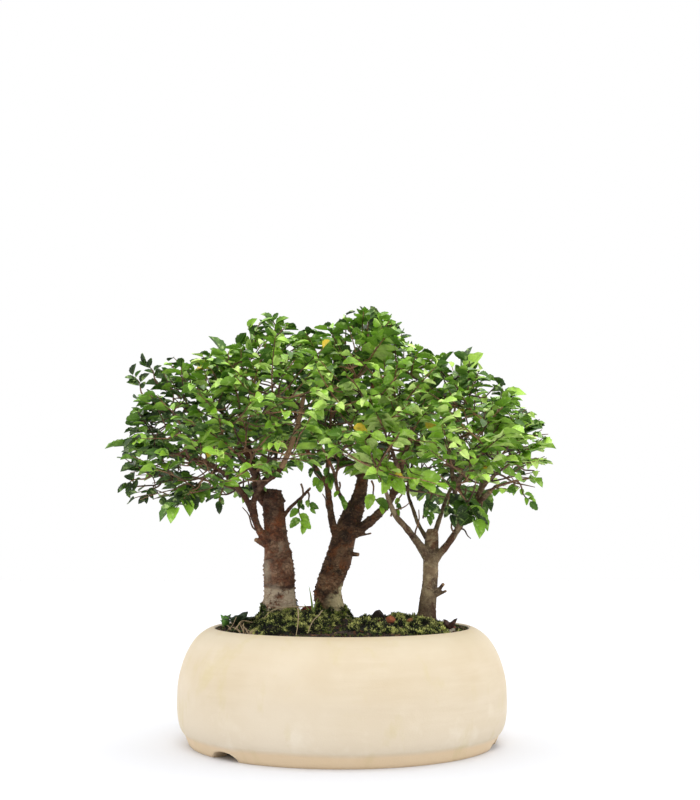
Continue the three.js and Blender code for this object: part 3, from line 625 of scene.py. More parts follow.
def shade_smooth(mesh):
    mesh.polygons.foreach_set("use_smooth", [True] * len(mesh.polygons))


def mesh_object(name, verts, faces, smooth=True):
    mesh = bpy.data.meshes.new(name)
    mesh.from_pydata([tuple(v) for v in verts], [], [tuple(f) for f in faces])
    mesh.validate()
    if smooth:
        shade_smooth(mesh)
    return linked(name, mesh)


def bmesh_object(name, bm):
    mesh = bpy.data.meshes.new(name)
    bm.to_mesh(mesh)
    bm.free()
    return linked(name, mesh)


def circle(radius, sides, shift=0.0):
    turns = [2 * math.pi * (s + shift) / sides for s in range(sides)]
    return [(radius * math.cos(turn), radius * math.sin(turn)) for turn in turns]


def sides_of(first, sides):
    """The neighbouring corners round a ring, whose first corner has the number given."""
    return [(first + s, first + (s + 1) % sides) for s in range(sides)]


def tube(points, radii, sides, reach=None):
    """A closed tube round a line, as corners and faces; reach(turn, point) adds to the radius."""
    verts, faces, side = [], [], None
    for i, p in enumerate(points):
        along = unit(points[min(i + 1, len(points) - 1)] - points[max(i - 1, 0)])
        if side is None:
            side = np.array([1.0, 0, 0]) if abs(along[0]) < 0.8 else np.array([0, 1.0, 0])
        side = unit(side - along * np.dot(side, along))
        across = np.cross(along, side)
        for s in range(sides):
            turn = 2 * math.pi * s / sides
            radius = radii[i] + (reach(turn, p) if reach else 0)
            verts.append(p + side * math.cos(turn) * radius + across * math.sin(turn) * radius)
    for r in range(len(points) - 1):
        faces += [(a, b, b + sides, a + sides) for a, b in sides_of(r * sides, sides)]
    last = (len(points) - 1) * sides
    return verts, faces + [tuple(reversed(range(sides))), tuple(range(last, last + sides))]


def gather(parts):
    verts, faces = [], []
    for part_verts, part_faces in parts:
        offset = len(verts)
        verts += list(part_verts)
        faces += [tuple(i + offset for i in face) for face in part_faces]
    return verts, faces


def baked(obj, name):
    """The object's mesh with its modifiers applied, in a new plain object."""
    graph = bpy.context.evaluated_depsgraph_get()
    mesh = bpy.data.meshes.new_from_object(obj.evaluated_get(graph), preserve_all_data_layers=True,
                                           depsgraph=graph)
    for modifier in list(obj.modifiers):
        obj.modifiers.remove(modifier)
    bpy.data.objects.remove(obj)
    mesh.name = name
    return linked(name, mesh)


def attribute(obj, name, values, kind="FLOAT"):
    layer = obj.data.attributes.get(name) or obj.data.attributes.new(name, kind, "POINT")
    key = "vector" if kind == "FLOAT_VECTOR" else "value"
    layer.data.foreach_set(key, np.asarray(values, int if kind == "INT" else float).ravel())


def finish_piece(obj, material, replaces=()):
    obj.data.materials.clear()
    obj.data.materials.append(material)
    obj.data.polygons.foreach_set("material_index", [0] * len(obj.data.polygons))
    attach(obj, BODY)
    if replaces:
        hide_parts(*replaces)


# ---- node trees ----

class Tree:
    """A node tree, and short ways to add and join its nodes."""

    def node(self, kind, inputs=None, **settings):
        node = self.tree.nodes.new(kind)
        for key, value in settings.items():
            setattr(node, key, value)
        for key, value in (inputs or {}).items():
            self.feed(node.inputs[key], value)
        return node

    def feed(self, socket, value):
        if isinstance(value, bpy.types.NodeSocket):
            self.tree.links.new(value, socket)
        else:
            socket.default_value = value

    def math(self, operation, *values):
        return self.node("ShaderNodeMath", dict(enumerate(values)), operation=operation).outputs[0]

    def vector(self, operation, inputs, out=0):
        return self.node("ShaderNodeVectorMath", inputs, operation=operation).outputs[out]

    def range(self, value, low, high, to_low=0.0, to_high=1.0):
        return self.node("ShaderNodeMapRange", {"Value": value, "From Min": low, "From Max": high,
                                                "To Min": to_low, "To Max": to_high}).outputs[0]


# ---- materials ----

def rgba(r, g, b):
    """A colour as the photograph shows it, 0 to 255, as the linear value that shaders use."""
    return tuple((c / 255 / 12.92 if c <= 10 else ((c / 255 + 0.055) / 1.055) ** 2.4)
                 for c in (r, g, b)) + (1,)


class Shader(Tree):
    """A material, or a group of shader nodes."""

    def __init__(self, name, group=False):
        if group:
            self.tree = bpy.data.node_groups.new(name, "ShaderNodeTree")
            return
        self.owner = bpy.data.materials.new(name)
        self.owner.use_nodes = True
        self.tree = self.owner.node_tree
        self.place = self.node("ShaderNodeTexCoord").outputs["Object"]

    def noise(self, scale, detail=4.0, rough=0.55, distortion=0.0, out="Fac", at=None):
        return self.node("ShaderNodeTexNoise", {
            "Vector": self.place if at is None else at, "Scale": scale, "Detail": detail, "Roughness": rough,
            "Distortion": distortion}).outputs[out]

    def patches(self, low, high, *noise, **more):
        """A mask from 0 to 1 where a noise rises from low to high."""
        return self.range(self.noise(*noise, **more), low, high)

    def stretched(self, z):
        """Coordinates that make a noise's features narrower upright when z is above 1."""
        return self.node("ShaderNodeMapping", {"Vector": self.place, "Scale": (1, 1, z)}).outputs["Vector"]

    def split(self, vector, axis):
        return self.node("ShaderNodeSeparateXYZ", {"Vector": vector}).outputs[axis]

    def ramp(self, value, stops):
        node = self.node("ShaderNodeValToRGB", {"Fac": value})
        elements = node.color_ramp.elements
        while len(elements) < len(stops):
            elements.new(0.5)
        for element, (position, colour) in zip(elements, stops):
            element.position, element.color = position, rgba(*colour)
        return node.outputs["Color"]

    def blend(self, amount, a, b):
        return self.node("ShaderNodeMix", {0: amount, 6: a, 7: b}, data_type="RGBA").outputs[2]

    def over(self, below, colour, mask, amount=1.0):
        """A colour laid over what is below, as far as the mask and the amount say."""
        return self.blend(mask if amount == 1 else self.math("MULTIPLY", mask, amount), below, rgba(*colour))

    def attribute(self, name):
        return self.node("ShaderNodeAttribute", attribute_name=name).outputs["Fac"]

    def weathering(self, patch_scale, speck_scale, speck_amount):
        return self.node("ShaderNodeGroup", {"Vector": self.place, "Patch Scale": patch_scale,
                                             "Speck Scale": speck_scale, "Speck Amount": speck_amount},
                         node_tree=weathering_group()).outputs

    def finish(self, colour, roughness, bump=None, specular=0.5):
        """Join up the surface; bump is a height, how high it stands in metres and its strength."""
        bsdf = self.tree.nodes["Principled BSDF"]
        self.feed(bsdf.inputs["Base Color"], colour)
        self.feed(bsdf.inputs["Roughness"], roughness)
        self.feed(bsdf.inputs["Specular IOR Level"], specular)
        if bump:
            node = self.node("ShaderNodeBump", dict(zip(("Height", "Distance", "Strength"), bump)))
            self.feed(bsdf.inputs["Normal"], node.outputs["Normal"])
        return self.owner


def weathering_group():
    """Shared by stone, soil and bark: a soft patch mask, a fine speck mask and a rough height."""
    if "Weathering" in bpy.data.node_groups:
        return bpy.data.node_groups["Weathering"]
    s = Shader("Weathering", group=True)
    face = s.tree.interface
    face.new_socket("Vector", in_out="INPUT", socket_type="NodeSocketVector")
    for name, value in (("Patch Scale", 30.0), ("Speck Scale", 400.0), ("Speck Amount", 0.3)):
        face.new_socket(name, in_out="INPUT", socket_type="NodeSocketFloat").default_value = value
    for name in ("Patches", "Specks", "Height"):
        face.new_socket(name, in_out="OUTPUT", socket_type="NodeSocketFloat")
    given, end = s.node("NodeGroupInput").outputs, s.node("NodeGroupOutput")
    patches = s.noise(given["Patch Scale"], 5.0, 0.6, at=given["Vector"])
    fine = s.noise(given["Speck Scale"], 3.0, 0.6, at=given["Vector"])
    beyond = s.math("SUBTRACT", fine, s.math("SUBTRACT", 1.0, given["Speck Amount"]))
    s.feed(end.inputs["Patches"], s.range(patches, 0.35, 0.65))
    s.feed(end.inputs["Specks"], s.range(beyond, 0.0, 0.08))
    s.feed(end.inputs["Height"], s.math("ADD", s.math("MULTIPLY", patches, 0.5), fine))
    return s.tree


def stoneware_material(props):
    """Cream stoneware with turning marks, a lower belly paler with painted light and pale bloom, a tan foot,
    stains, and soil on the inner lip.
    """
    s = Shader("Unglazed Stoneware")
    worn = s.weathering(17.0, 900.0, 0.28)
    height = s.split(s.place, "Z")
    low = s.noise(9.0, 3.0, 0.5)
    cream = s.over(tuple(props.stoneware) + (1,), (217, 201, 173), s.range(low, 0.35, 0.65))
    cream = s.over(cream, (212, 192, 159), worn["Patches"], 0.4)
    wheel = s.patches(0.45, 0.65, 17.0, 5.0, 0.65, at=s.stretched(9))
    wheel = s.math("MULTIPLY", wheel, s.range(s.noise(13.0, 4.0, 0.6, 0.5), 0.45, 0.6, 0.04, 0.24))
    cream = s.over(cream, (234, 221, 200), wheel)
    # Painted light: the lower part of the pot lighter towards the foot.
    cream = s.over(cream, (238, 226, 206), s.range(height, 0.056, 0.014, 0.0, 0.4))
    bloom = s.math("MULTIPLY", s.patches(0.52, 0.66, 34.0, 5.0, 0.6), s.range(height, 0.05, 0.02))
    cream = s.over(cream, (240, 230, 212), bloom, 0.5)
    foot = s.range(s.math("ADD", height, s.math("MULTIPLY", low, 0.006)), 0.0142, 0.0105)
    cream = s.over(cream, (234, 207, 168), foot, 0.75)
    streaks = s.patches(0.55, 0.7, 42.0, 5.0, 0.62, 0.4, at=s.stretched(0.55))
    cream = s.over(cream, (212, 196, 142), streaks, 0.42)
    cream = s.over(cream, (170, 130, 90), worn["Specks"], 0.3)
    level = s.vector("MULTIPLY", {0: s.place, 1: (1, 1, 0)})
    across = s.vector("DISTANCE", {0: level, 1: tuple(float(c) for c in AXIS)}, "Value")
    soiled = s.math("MULTIPLY", s.range(across, 0.0974, 0.0964), s.range(height, 0.0871, 0.0863))
    cream = s.over(cream, (58, 44, 32), soiled, 0.88)
    cream = s.over(cream, (196, 168, 128), s.range(height, 0.0845, 0.0872), 0.25)
    rough = s.range(worn["Patches"], 0.0, 1.0, 0.62, 0.8)
    return s.finish(cream, rough, (worn["Height"], 0.0004, 0.35))


def bark_material(name, dark, mid, light, rust, lichen, striped):
    """Mottled bark, with fine level ridges, dark cracks, rusty and pale patches, lichen and moss."""
    s = Shader(name)
    worn = s.weathering(85.0, 620.0, 0.4)
    ridges = s.noise(190.0, 6.0, 0.68, 0.9, at=s.stretched(2.2))
    colour = s.over(rgba(*mid), light, s.patches(0.44, 0.62, 95.0, 6.0, 0.7, 0.8))
    colour = s.over(colour, rust, s.patches(0.5, 0.6, 60.0, 5.0, 0.65, 1.2))
    colour = s.over(colour, dark, s.patches(0.53, 0.4, 78.0, 6.0, 0.72, 0.7, out="Color"), 0.9)
    colour = s.over(colour, dark, s.range(ridges, 0.52, 0.4), striped)
    colour = s.over(colour, dark, s.range(s.attribute("crack"), 0.25, 1.0), 0.85)
    # Painted shade high on the left tree and at the middle tree's fork and left side; also the right trunk's
    # darker foot and limbs.
    colour = s.over(colour, dark, s.attribute("gloom"), 0.75)
    colour = s.over(colour, light, worn["Specks"], 0.3)
    for label, low, high, noise_of, amount, shade in (
            ("lichen", 0.36, 0.5, (150.0, 6.0, 0.68), 0.9, lichen),
            ("mossy", 0.38, 0.54, (330.0, 4.0, 0.6), 1.0, (50, 70, 24))):
        mask = s.math("MULTIPLY", s.attribute(label), s.patches(low, high, *noise_of))
        colour = s.over(colour, shade, mask, amount)
    colour = s.over(colour, (184, 146, 110), s.attribute("cut"), 0.8)
    height = s.math("ADD", ridges, s.math("MULTIPLY", worn["Height"], 0.7))
    return s.finish(colour, 0.85, (height, 0.0011, 1.0), 0.3)


def twig_material():
    """Light brown twigs, with painted shade deep in the crown."""
    s = Shader("Young Twig Bark")
    fibre = s.noise(700.0, 4.0, 0.6)
    colour = s.over(rgba(60, 38, 26), (174, 130, 94), s.patches(0.35, 0.65, 60.0, 3.0, 0.5))
    colour = s.over(colour, (60, 40, 30), s.range(fibre, 0.45, 0.75))
    # Painted shade: twigs darker the nearer they lie to the crown's middle plane.
    depth = s.math("ABSOLUTE", s.split(s.place, "Y"))
    colour = s.over(colour, (38, 25, 18), s.range(depth, 0.06, 0.01, 0.0, 0.5))
    return s.finish(colour, 0.75, (fibre, 0.0002, 0.6))


def leaf_material(props):
    """Green from each leaf's own tint, with painted light and shade by its place in the crown, painted shade
    and highlights within each blade, a few yellow ones, veins and a duller underside.
    """
    s = Shader("Leaf Blade")
    uv = s.node("ShaderNodeUVMap", uv_map="blade").outputs["UV"]
    u, v = s.split(uv, "X"), s.split(uv, "Y")
    tint = s.attribute("tint")
    patchy = s.range(s.noise(20.0, 3.0, 0.5), 0.4, 0.6, -0.12, 0.12)
    # The leaf's tone: its own tint and tone patches, plus painted light and shade by its place in the crown.
    tone_and_light = s.math("ADD", s.math("ADD", tint, s.attribute("light_and_shade")), patchy)
    green = s.ramp(tone_and_light, [(0.0, (22, 42, 8)), (0.2, (68, 110, 20)), (0.54, (142, 192, 44)),
                           (0.84, (186, 230, 86)), (1.0, (220, 246, 140))])
    green = s.over(green, (254, 216, 62), s.math("GREATER_THAN", tint, YELLOW_TINT))
    green = s.over(green, (60, 90, 40), s.math("SUBTRACT", 1.0, props.freshness))
    # Painted shade: darker patches within each blade, in place of the shading its curve would get.
    green = s.over(green, (62, 102, 22), s.patches(0.44, 0.64, 190.0, 4.0, 0.55), 0.42)
    # Painted highlights: pale glints within each blade.
    green = s.over(green, (208, 236, 142), s.patches(0.54, 0.66, 240.0, 3.0, 0.55, out="Color"), 0.7)
    side = s.math("ABSOLUTE", s.math("SUBTRACT", s.math("FRACT", u), 0.5))
    ribs = s.math("FRACT", s.math("MULTIPLY", s.math("SUBTRACT", v, s.math("MULTIPLY", side, 0.62)), 9.0))
    ribs = s.range(s.math("ABSOLUTE", s.math("SUBTRACT", ribs, 0.5)), 0.12, 0.02)
    veins = s.math("MAXIMUM", s.range(side, 0.035, 0.012), s.math("MULTIPLY", ribs, 0.55))
    green = s.over(green, (150, 190, 90), veins, 0.35)
    under = s.math("GREATER_THAN", u, 1.5)
    green = s.over(green, (70, 104, 40), under, 0.3)
    return s.finish(green, s.range(under, 0.0, 1.0, 0.42, 0.65), (veins, 0.00025, 0.5), 0.4)


def soil_material():
    s = Shader("Damp Soil")
    worn = s.weathering(120.0, 1100.0, 0.35)
    colour = s.over(rgba(30, 21, 16), (62, 44, 34), worn["Patches"])
    colour = s.over(colour, (110, 84, 62), worn["Specks"], 0.6)
    return s.finish(colour, 0.95, (worn["Height"], 0.0012, 1.0))


def moss_material(name, dark, middle, light):
    """Moss, shoot by shoot darker or lighter, with brown and blackish places."""
    s = Shader(name)
    tone = s.math("ADD", s.attribute("tone"), s.range(s.noise(150.0, 5.0, 0.7), 0.43, 0.6, -0.8, 0.6))
    colour = s.ramp(tone, [(0.14, dark), (0.58, middle), (1.0, light)])
    colour = s.over(colour, (34, 24, 16), s.patches(0.5, 0.58, 70.0, 6.0, 0.75, out="Color"), 0.8)
    return s.finish(colour, 0.9, (s.patches(0.45, 0.7, 1400.0, 2.0, 0.5), 0.0005, 0.7))


def crumb_material():
    """Crumbs of baked clay, bark and soil, each of its own tone."""
    s = Shader("Soil Crumbs")
    colour = s.ramp(s.attribute("tone"), [(0.0, (26, 18, 14)), (0.45, (48, 34, 26)), (0.72, (84, 58, 42)),
                                          (0.88, (120, 72, 44)), (1.0, (150, 124, 92))])
    grain = s.noise(1500.0, 4.0, 0.6)
    colour = s.over(colour, (28, 20, 16), s.range(grain, 0.45, 0.7))
    return s.finish(colour, 0.95, (grain, 0.0006, 0.9))


def grit_material(name, colour):
    s = Shader(name)
    worn = s.weathering(260.0, 1500.0, 0.4)
    shade = s.blend(worn["Patches"], colour + (1,), tuple(0.45 * c for c in colour) + (1,))
    shade = s.over(shade, (40, 28, 22), worn["Specks"], 0.7)
    return s.finish(shade, 0.9, (worn["Height"], 0.0009, 0.9))


def blade_material(name, low, high):
    s = Shader(name)
    return s.finish(s.over(rgba(*low), high, s.patches(0.3, 0.7, 500.0, 3.0, 0.5, at=s.stretched(0.2))), 0.6)


def screen_material():
    s = Shader("Drain Mesh Plastic")
    grain = s.noise(1800.0, 2.0, 0.5)
    colour = s.over(rgba(34, 36, 38), (52, 54, 56), s.range(grain, 0.3, 0.7))
    return s.finish(colour, 0.55, (grain, 0.0001, 0.5))


# ---- what is placed or strewn by geometry nodes ----

class Nodes(Tree):
    """A geometry node tree with named inputs, some of them template objects to pick from."""

    def __init__(self, name, inputs, templates=0):
        self.tree = bpy.data.node_groups.new(name, "GeometryNodeTree")
        self.sockets, self.templates = {}, [f"Pattern {i + 1}" for i in range(templates)]
        face = self.tree.interface
        face.new_socket("Geometry", in_out="INPUT", socket_type="NodeSocketGeometry")
        inputs = inputs | dict.fromkeys(self.templates, "Object") | {"Material": "Material"}
        for label, value in inputs.items():
            kind = value if isinstance(value, str) else type(value).__name__.title()
            socket = face.new_socket(label, in_out="INPUT", socket_type=f"NodeSocket{kind}")
            if kind != value:
                socket.default_value = value
            self.sockets[label] = socket.identifier
        face.new_socket("Geometry", in_out="OUTPUT", socket_type="NodeSocketGeometry")
        self.given, self.end = self.node("NodeGroupInput").outputs, self.node("NodeGroupOutput")

    def named(self, name, kind):
        found = self.node("GeometryNodeInputNamedAttribute", {"Name": name}, data_type=kind)
        return found.outputs["Attribute"]

    def random(self, kind, low, high):
        """A random value for each point, drawn from the input Seed."""
        first, out = {"FLOAT_VECTOR": (0, 0), "FLOAT": (2, 1), "INT": (4, 2)}[kind]
        return self.node("FunctionNodeRandomValue", {first: low, first + 1: high, "Seed": self.given["Seed"]},
                         data_type=kind).outputs[out]

    def copies(self, points, which, turn, size):
        """One of the templates at each point."""
        join = self.node("GeometryNodeJoinGeometry")
        for label in reversed(self.templates):
            info = self.node("GeometryNodeObjectInfo", {"Object": self.given[label], "As Instance": True})
            self.tree.links.new(info.outputs["Geometry"], join.inputs["Geometry"])
        return self.node("GeometryNodeInstanceOnPoints", {
            "Points": points, "Instance": join.outputs["Geometry"], "Pick Instance": True,
            "Instance Index": which, "Rotation": turn, "Scale": size}).outputs["Instances"]

    def close(self, geometry):
        real = self.node("GeometryNodeRealizeInstances", {"Geometry": geometry})
        dressed = self.node("GeometryNodeSetMaterial", {"Geometry": real.outputs["Geometry"],
                                                        "Material": self.given["Material"]})
        self.feed(self.end.inputs["Geometry"], dressed.outputs["Geometry"])
        return self

    def run(self, obj, name, templates=(), **values):
        modifier = obj.modifiers.new(self.tree.name, "NODES")
        modifier.node_group = self.tree
        values = {key.title(): value for key, value in values.items()}
        for label, value in {**values, **dict(zip(self.templates, templates))}.items():
            modifier[self.sockets[label]] = value
        return baked(obj, name)


def leaf_scatter():
    n = Nodes("Leaf Scatter", {"Scale": 1.0}, 3)
    size = n.vector("SCALE", {0: n.named("size", "FLOAT_VECTOR"), "Scale": n.given["Scale"]})
    return n.close(n.copies(n.given["Geometry"], n.named("kind", "INT"), n.named("turn", "QUATERNION"), size))


def strewn(name, masked):
    """Templates strewn over a surface, each with its own turn, lean, size and tone."""
    n = Nodes(name, {"Density": 1000.0, "Smallest": 0.7, "Largest": 1.3, "Lean": 0.5, "Seed": 1}, STREWN_KINDS)
    density = n.given["Density"]
    if masked:
        density = n.math("MULTIPLY", density, n.named("mask", "FLOAT"))
    points = n.node("GeometryNodeDistributePointsOnFaces", {
        "Mesh": n.given["Geometry"], "Density": density, "Seed": n.given["Seed"]})
    lean = [n.vector("SCALE", {0: (way, way, 0), "Scale": n.given["Lean"]}) for way in (-1, 1)]
    turn = points.outputs["Rotation"]
    for low, high in (((0, 0, -math.pi), (0, 0, math.pi)), lean):
        turn = n.node("FunctionNodeRotateRotation", {
            "Rotation": turn,
            "Rotate By": n.random("FLOAT_VECTOR", low, high)}, rotation_space="LOCAL").outputs[0]
    size = n.random("FLOAT", n.given["Smallest"], n.given["Largest"])
    copies = n.copies(points.outputs["Points"], n.random("INT", 0, STREWN_KINDS - 1), turn, size)
    toned = n.node("GeometryNodeStoreNamedAttribute", {
        "Geometry": copies, "Name": "tone", "Value": n.random("FLOAT", 0.0, 1.0)}, domain="INSTANCE")
    return n.close(toned.outputs["Geometry"])


def strew(guide, name, pattern, material, density, smallest, largest, lean, seed):
    """Strew copies of a few small templates over a guide mesh, which is used up."""
    templates = [pattern(i) for i in range(STREWN_KINDS)]
    masked = "mask" in guide.data.attributes
    piece = strewn(name.title().replace("_", " "), masked).run(
        guide, name, templates, density=density, smallest=smallest, largest=largest, lean=lean, seed=seed,
        material=material)
    for template in templates:
        bpy.data.objects.remove(template)
    finish_piece(piece, material)


def stem_skin():
    """Round stems along lines, as thick as each point's radius, with closed ends."""
    n = Nodes("Stems", {"Sides": 6, "Thickness": 1.0})
    ring = n.node("GeometryNodeCurvePrimitiveCircle", {"Resolution": n.given["Sides"],
                                                       "Radius": n.given["Thickness"]}, mode="RADIUS")
    skin = n.node("GeometryNodeCurveToMesh", {
        "Curve": n.given["Geometry"], "Profile Curve": ring.outputs["Curve"],
        "Scale": n.node("GeometryNodeInputRadius").outputs["Radius"], "Fill Caps": True})
    smooth = n.node("GeometryNodeSetShadeSmooth", {"Geometry": skin.outputs["Mesh"]})
    return n.close(smooth.outputs["Geometry"])


def stems(name, lines, sides, material):
    """One mesh of stems; lines are (points in mm, radii in mm)."""
    curve = bpy.data.curves.new(name + "_lines", "CURVE")
    curve.dimensions = "3D"
    for points, radii in lines:
        spline = curve.splines.new("POLY")
        spline.points.add(len(points) - 1)
        for node, place, radius in zip(spline.points, to_metres(points), radii):
            node.co = (*place, 1)
            node.radius = radius * MM
    return stem_skin().run(linked(name + "_lines", curve), name, sides=sides, material=material)


# ---- pot and soil ----

def settings(context):
    return context.scene.bonsai_pot, context.scene.bonsai_ground, context.scene.bonsai_tree


def notched(turn, radius, height):
    """A place of the pot's profile, raised where a notch runs through the foot."""
    if radius <= 100 or height >= 8:
        return radius, height
    lift = 0.0
    for degrees in NOTCH_ANGLES:
        away = 110 * math.sin(turn - math.radians(degrees)) / NOTCH_HALF_WIDTH
        if math.cos(turn - math.radians(degrees)) > 0 and abs(away) < 1:
            lift = NOTCH_HEIGHT * math.sqrt(1 - away ** 2)
            break
    height = max(height, min(lift, 5.5) if radius < 110 else lift)
    if radius > 113 and lift > 0.2 and height <= lift + 0.01:
        radius = min(radius, 116 + 3.2 * lift / 7.6)
    return radius, height


def pot_turns():
    """Angles round the pot, closer together across the notches."""
    turns = [math.radians(2 * i) for i in range(180)]
    for degrees in NOTCH_ANGLES:
        turns += [math.radians(degrees + offset) for offset in np.arange(-6.9, 7.0, 0.6)]
    turns = sorted({round(t % (2 * math.pi), 5) for t in turns})
    kept = [turns[0]]
    for t in turns[1:]:
        if t - kept[-1] > 0.004:
            kept.append(t)
    return kept


def rounded_profile(points, step):
    return [(p[0], p[2]) for p in smooth_line([(r, 0, z) for r, z in points], step)]


def build_pot(props):
    profile = [(DRAIN_RADIUS, 11.4), (DRAIN_RADIUS, 6.1), (DRAIN_RADIUS + 0.6, 5.5), (60, 5.5)]
    profile += POT_OUTSIDE[:3] + rounded_profile(POT_OUTSIDE[3:8], 1.2)
    profile += rounded_profile(POT_OUTSIDE[8:] + POT_INSIDE[:4], 1.8) + rounded_profile(POT_INSIDE[4:], 4)
    profile += [(60, 12), (DRAIN_RADIUS + 0.6, 12)]
    turns = pot_turns()
    verts, faces, rows = [], [], len(profile)
    for turn in turns:
        for radius, height in (notched(turn, *place) for place in profile):
            verts.append((radius * math.cos(turn), radius * math.sin(turn), height))
    for c, d in sides_of(0, len(turns)):
        faces += [(c * rows + r, d * rows + r, d * rows + s, c * rows + s) for r, s in sides_of(0, rows)]
    obj = mesh_object("stoneware_pot", to_metres(verts), faces)
    bm = bmesh.new()
    bm.from_mesh(obj.data)
    bmesh.ops.remove_doubles(bm, verts=bm.verts, dist=1e-6)
    bmesh.ops.dissolve_degenerate(bm, edges=bm.edges, dist=1e-7)
    bmesh.ops.recalc_face_normals(bm, faces=bm.faces)
    for edge in bm.edges:
        if len(edge.link_faces) == 2 and edge.calc_face_angle(0) > math.radians(38):
            edge.smooth = False
    bm.to_mesh(obj.data)
    bm.free()
    finish_piece(obj, stoneware_material(props), ["pot"])
    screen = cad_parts["drain_screen"].data.materials
    screen.clear()
    screen.append(screen_material())


def soil_height(x, y):
    """The smooth top of the soil, as in the solid model."""
    radius = math.hypot(x, y) / 96
    clods = 0.7 * math.sin(x * 0.21 + 1.3) * math.cos(y * 0.19 - 0.4) + 0.4 * math.sin((x + y) * 0.47)
    return SOIL_EDGE_Z + SOIL_RISE * (1 - radius * radius) + clods * min(1, 4 * (1 - radius))


def soil_relief(x, y):
    """The soil with clods, banked up at the rim, and a heap at the left."""
    fade = clamp((94 - math.hypot(x, y)) / 6)
    clods = noise.noise(Vector((x, y, 0)) * 0.16) * 0.9 + noise.noise(Vector((x, y, 5)) * 0.5) * 0.5
    banked = 2.2 * clamp((math.hypot(x, y) - 68) / 22)
    heap = 4.5 * math.exp(-((x + 76) / 14) ** 2 - ((y + 28) / 22) ** 2)
    return soil_height(x, y) - 0.5 + clods * fade + banked + heap * fade


def build_soil(props):
    sides, rings, edge = 150, 52, 95.2
    wall = [(edge, 82.4), (97, 79.5), (111, 64.5), (116.4, 45), (115, 26), (105, SOIL_BOTTOM),
            (40, SOIL_BOTTOM)]
    verts, faces = [], []
    for r in range(rings):
        verts += [(x, y, soil_relief(x, y)) for x, y in circle(edge * (1 - r / rings), sides, 0.5 * (r % 2))]
    middle = len(verts)
    verts.append((0, 0, soil_relief(0, 0)))
    for r in range(rings - 1):
        for a, b in sides_of(r * sides, sides):
            c, d = a + sides, b + sides
            faces += [(a, b, d), (a, d, c)] if r % 2 else [(a, b, c), (b, d, c)]
    faces += [(a, b, middle) for a, b in sides_of((rings - 1) * sides, sides)]
    crumbs_on = mesh_object("soil_top", to_metres(verts), faces)
    moss_on = linked("moss_speck_places", crumbs_on.data.copy())
    between = [math.exp(-(((x - 2) / 16) ** 2 + ((y + 52) / 34) ** 2) ** 2) for x, y, _ in verts]
    attribute(moss_on, "mask", [clamp(noise.fractal(Vector(v) * 0.055, 0.8, 2.2, 3) * 4 + 0.15 + 1.4 * share)
                                for v, share in zip(verts, between)])
    start = len(verts)
    for radius, height in wall:
        verts += [(x, y, height) for x, y in circle(radius, sides)]
    bottom = len(verts)
    verts.append((0, 0, SOIL_BOTTOM))
    faces += [(b, a, c, d) for (a, b), (c, d) in zip(sides_of(0, sides), sides_of(start, sides))]
    for r in range(len(wall) - 1):
        faces += [(b, a, a + sides, b + sides) for a, b in sides_of(start + r * sides, sides)]
    faces += [(b, a, bottom) for a, b in sides_of(start + (len(wall) - 1) * sides, sides)]
    finish_piece(mesh_object("soil_bed", to_metres(verts), faces), soil_material(), ["soil"])
    strew_crumbs(crumbs_on, "soil_crumbs", props.crumbs, 0.35, 1.2, 3)
    specks = moss_material("Moss Specks", (26, 32, 12), (66, 84, 28), (120, 132, 56))
    strew(moss_on, "moss_specks", tuft_pattern, specks, props.moss_density * 0.16, 0.4, 0.9, 0.6, 23)


# ---- crumbs, moss and grit ----

def strew_crumbs(guide, name, density, smallest, largest, seed):
    material = bpy.data.materials.get("Soil Crumbs") or crumb_material()
    strew(guide, name, chip_pattern, material, density, smallest, largest, 3.0, seed)


def chip_pattern(i):
    """A small uneven crumb, about 2 mm across."""
    draw = seeded((40 + i) * SEED_SPREAD)
    bm = bmesh.new()
    bmesh.ops.create_icosphere(bm, subdivisions=1, radius=1.0 * MM)
    squash = (0.8 + 0.5 * draw(), 0.7 + 0.4 * draw(), 0.5 + 0.4 * draw())
    for v in bm.verts:
        v.co *= 0.8 + 0.4 * draw()
        v.co = Vector(a * b for a, b in zip(v.co, squash))
    return bmesh_object(f"chip_{i}", bm)


def tuft_pattern(i):
    """A small moss shoot: six pointed leaflets that spread from one foot."""
    draw = seeded((70 + i) * SEED_SPREAD)
    leaflets, tall = 6, 3.2
    verts, faces = [], []
    for k in range(leaflets):
        turn = 2 * math.pi * (k / leaflets + 0.12 * draw())
        out = np.array([math.cos(turn), math.sin(turn), 0])
        across = np.array([-math.sin(turn), math.cos(turn), 0])
        reach, high = 0.7 + 1.2 * draw(), tall * (0.4 + 0.6 * draw())
        middle = out * reach * 0.6 + UP * high * 0.62
        a = len(verts)
        verts += [out * 0.1 - UP * 0.6, out * (reach * 1.3 + 0.1) + UP * high, middle + across * 0.36,
                  middle - across * 0.36]
        faces += [(a, a + 2, a + 1), (a, a + 1, a + 3), (a, a + 3, a + 2), (a + 1, a + 2, a + 3)]
    return mesh_object(f"shoot_{i}", np.array(verts) * MM, faces, smooth=False)


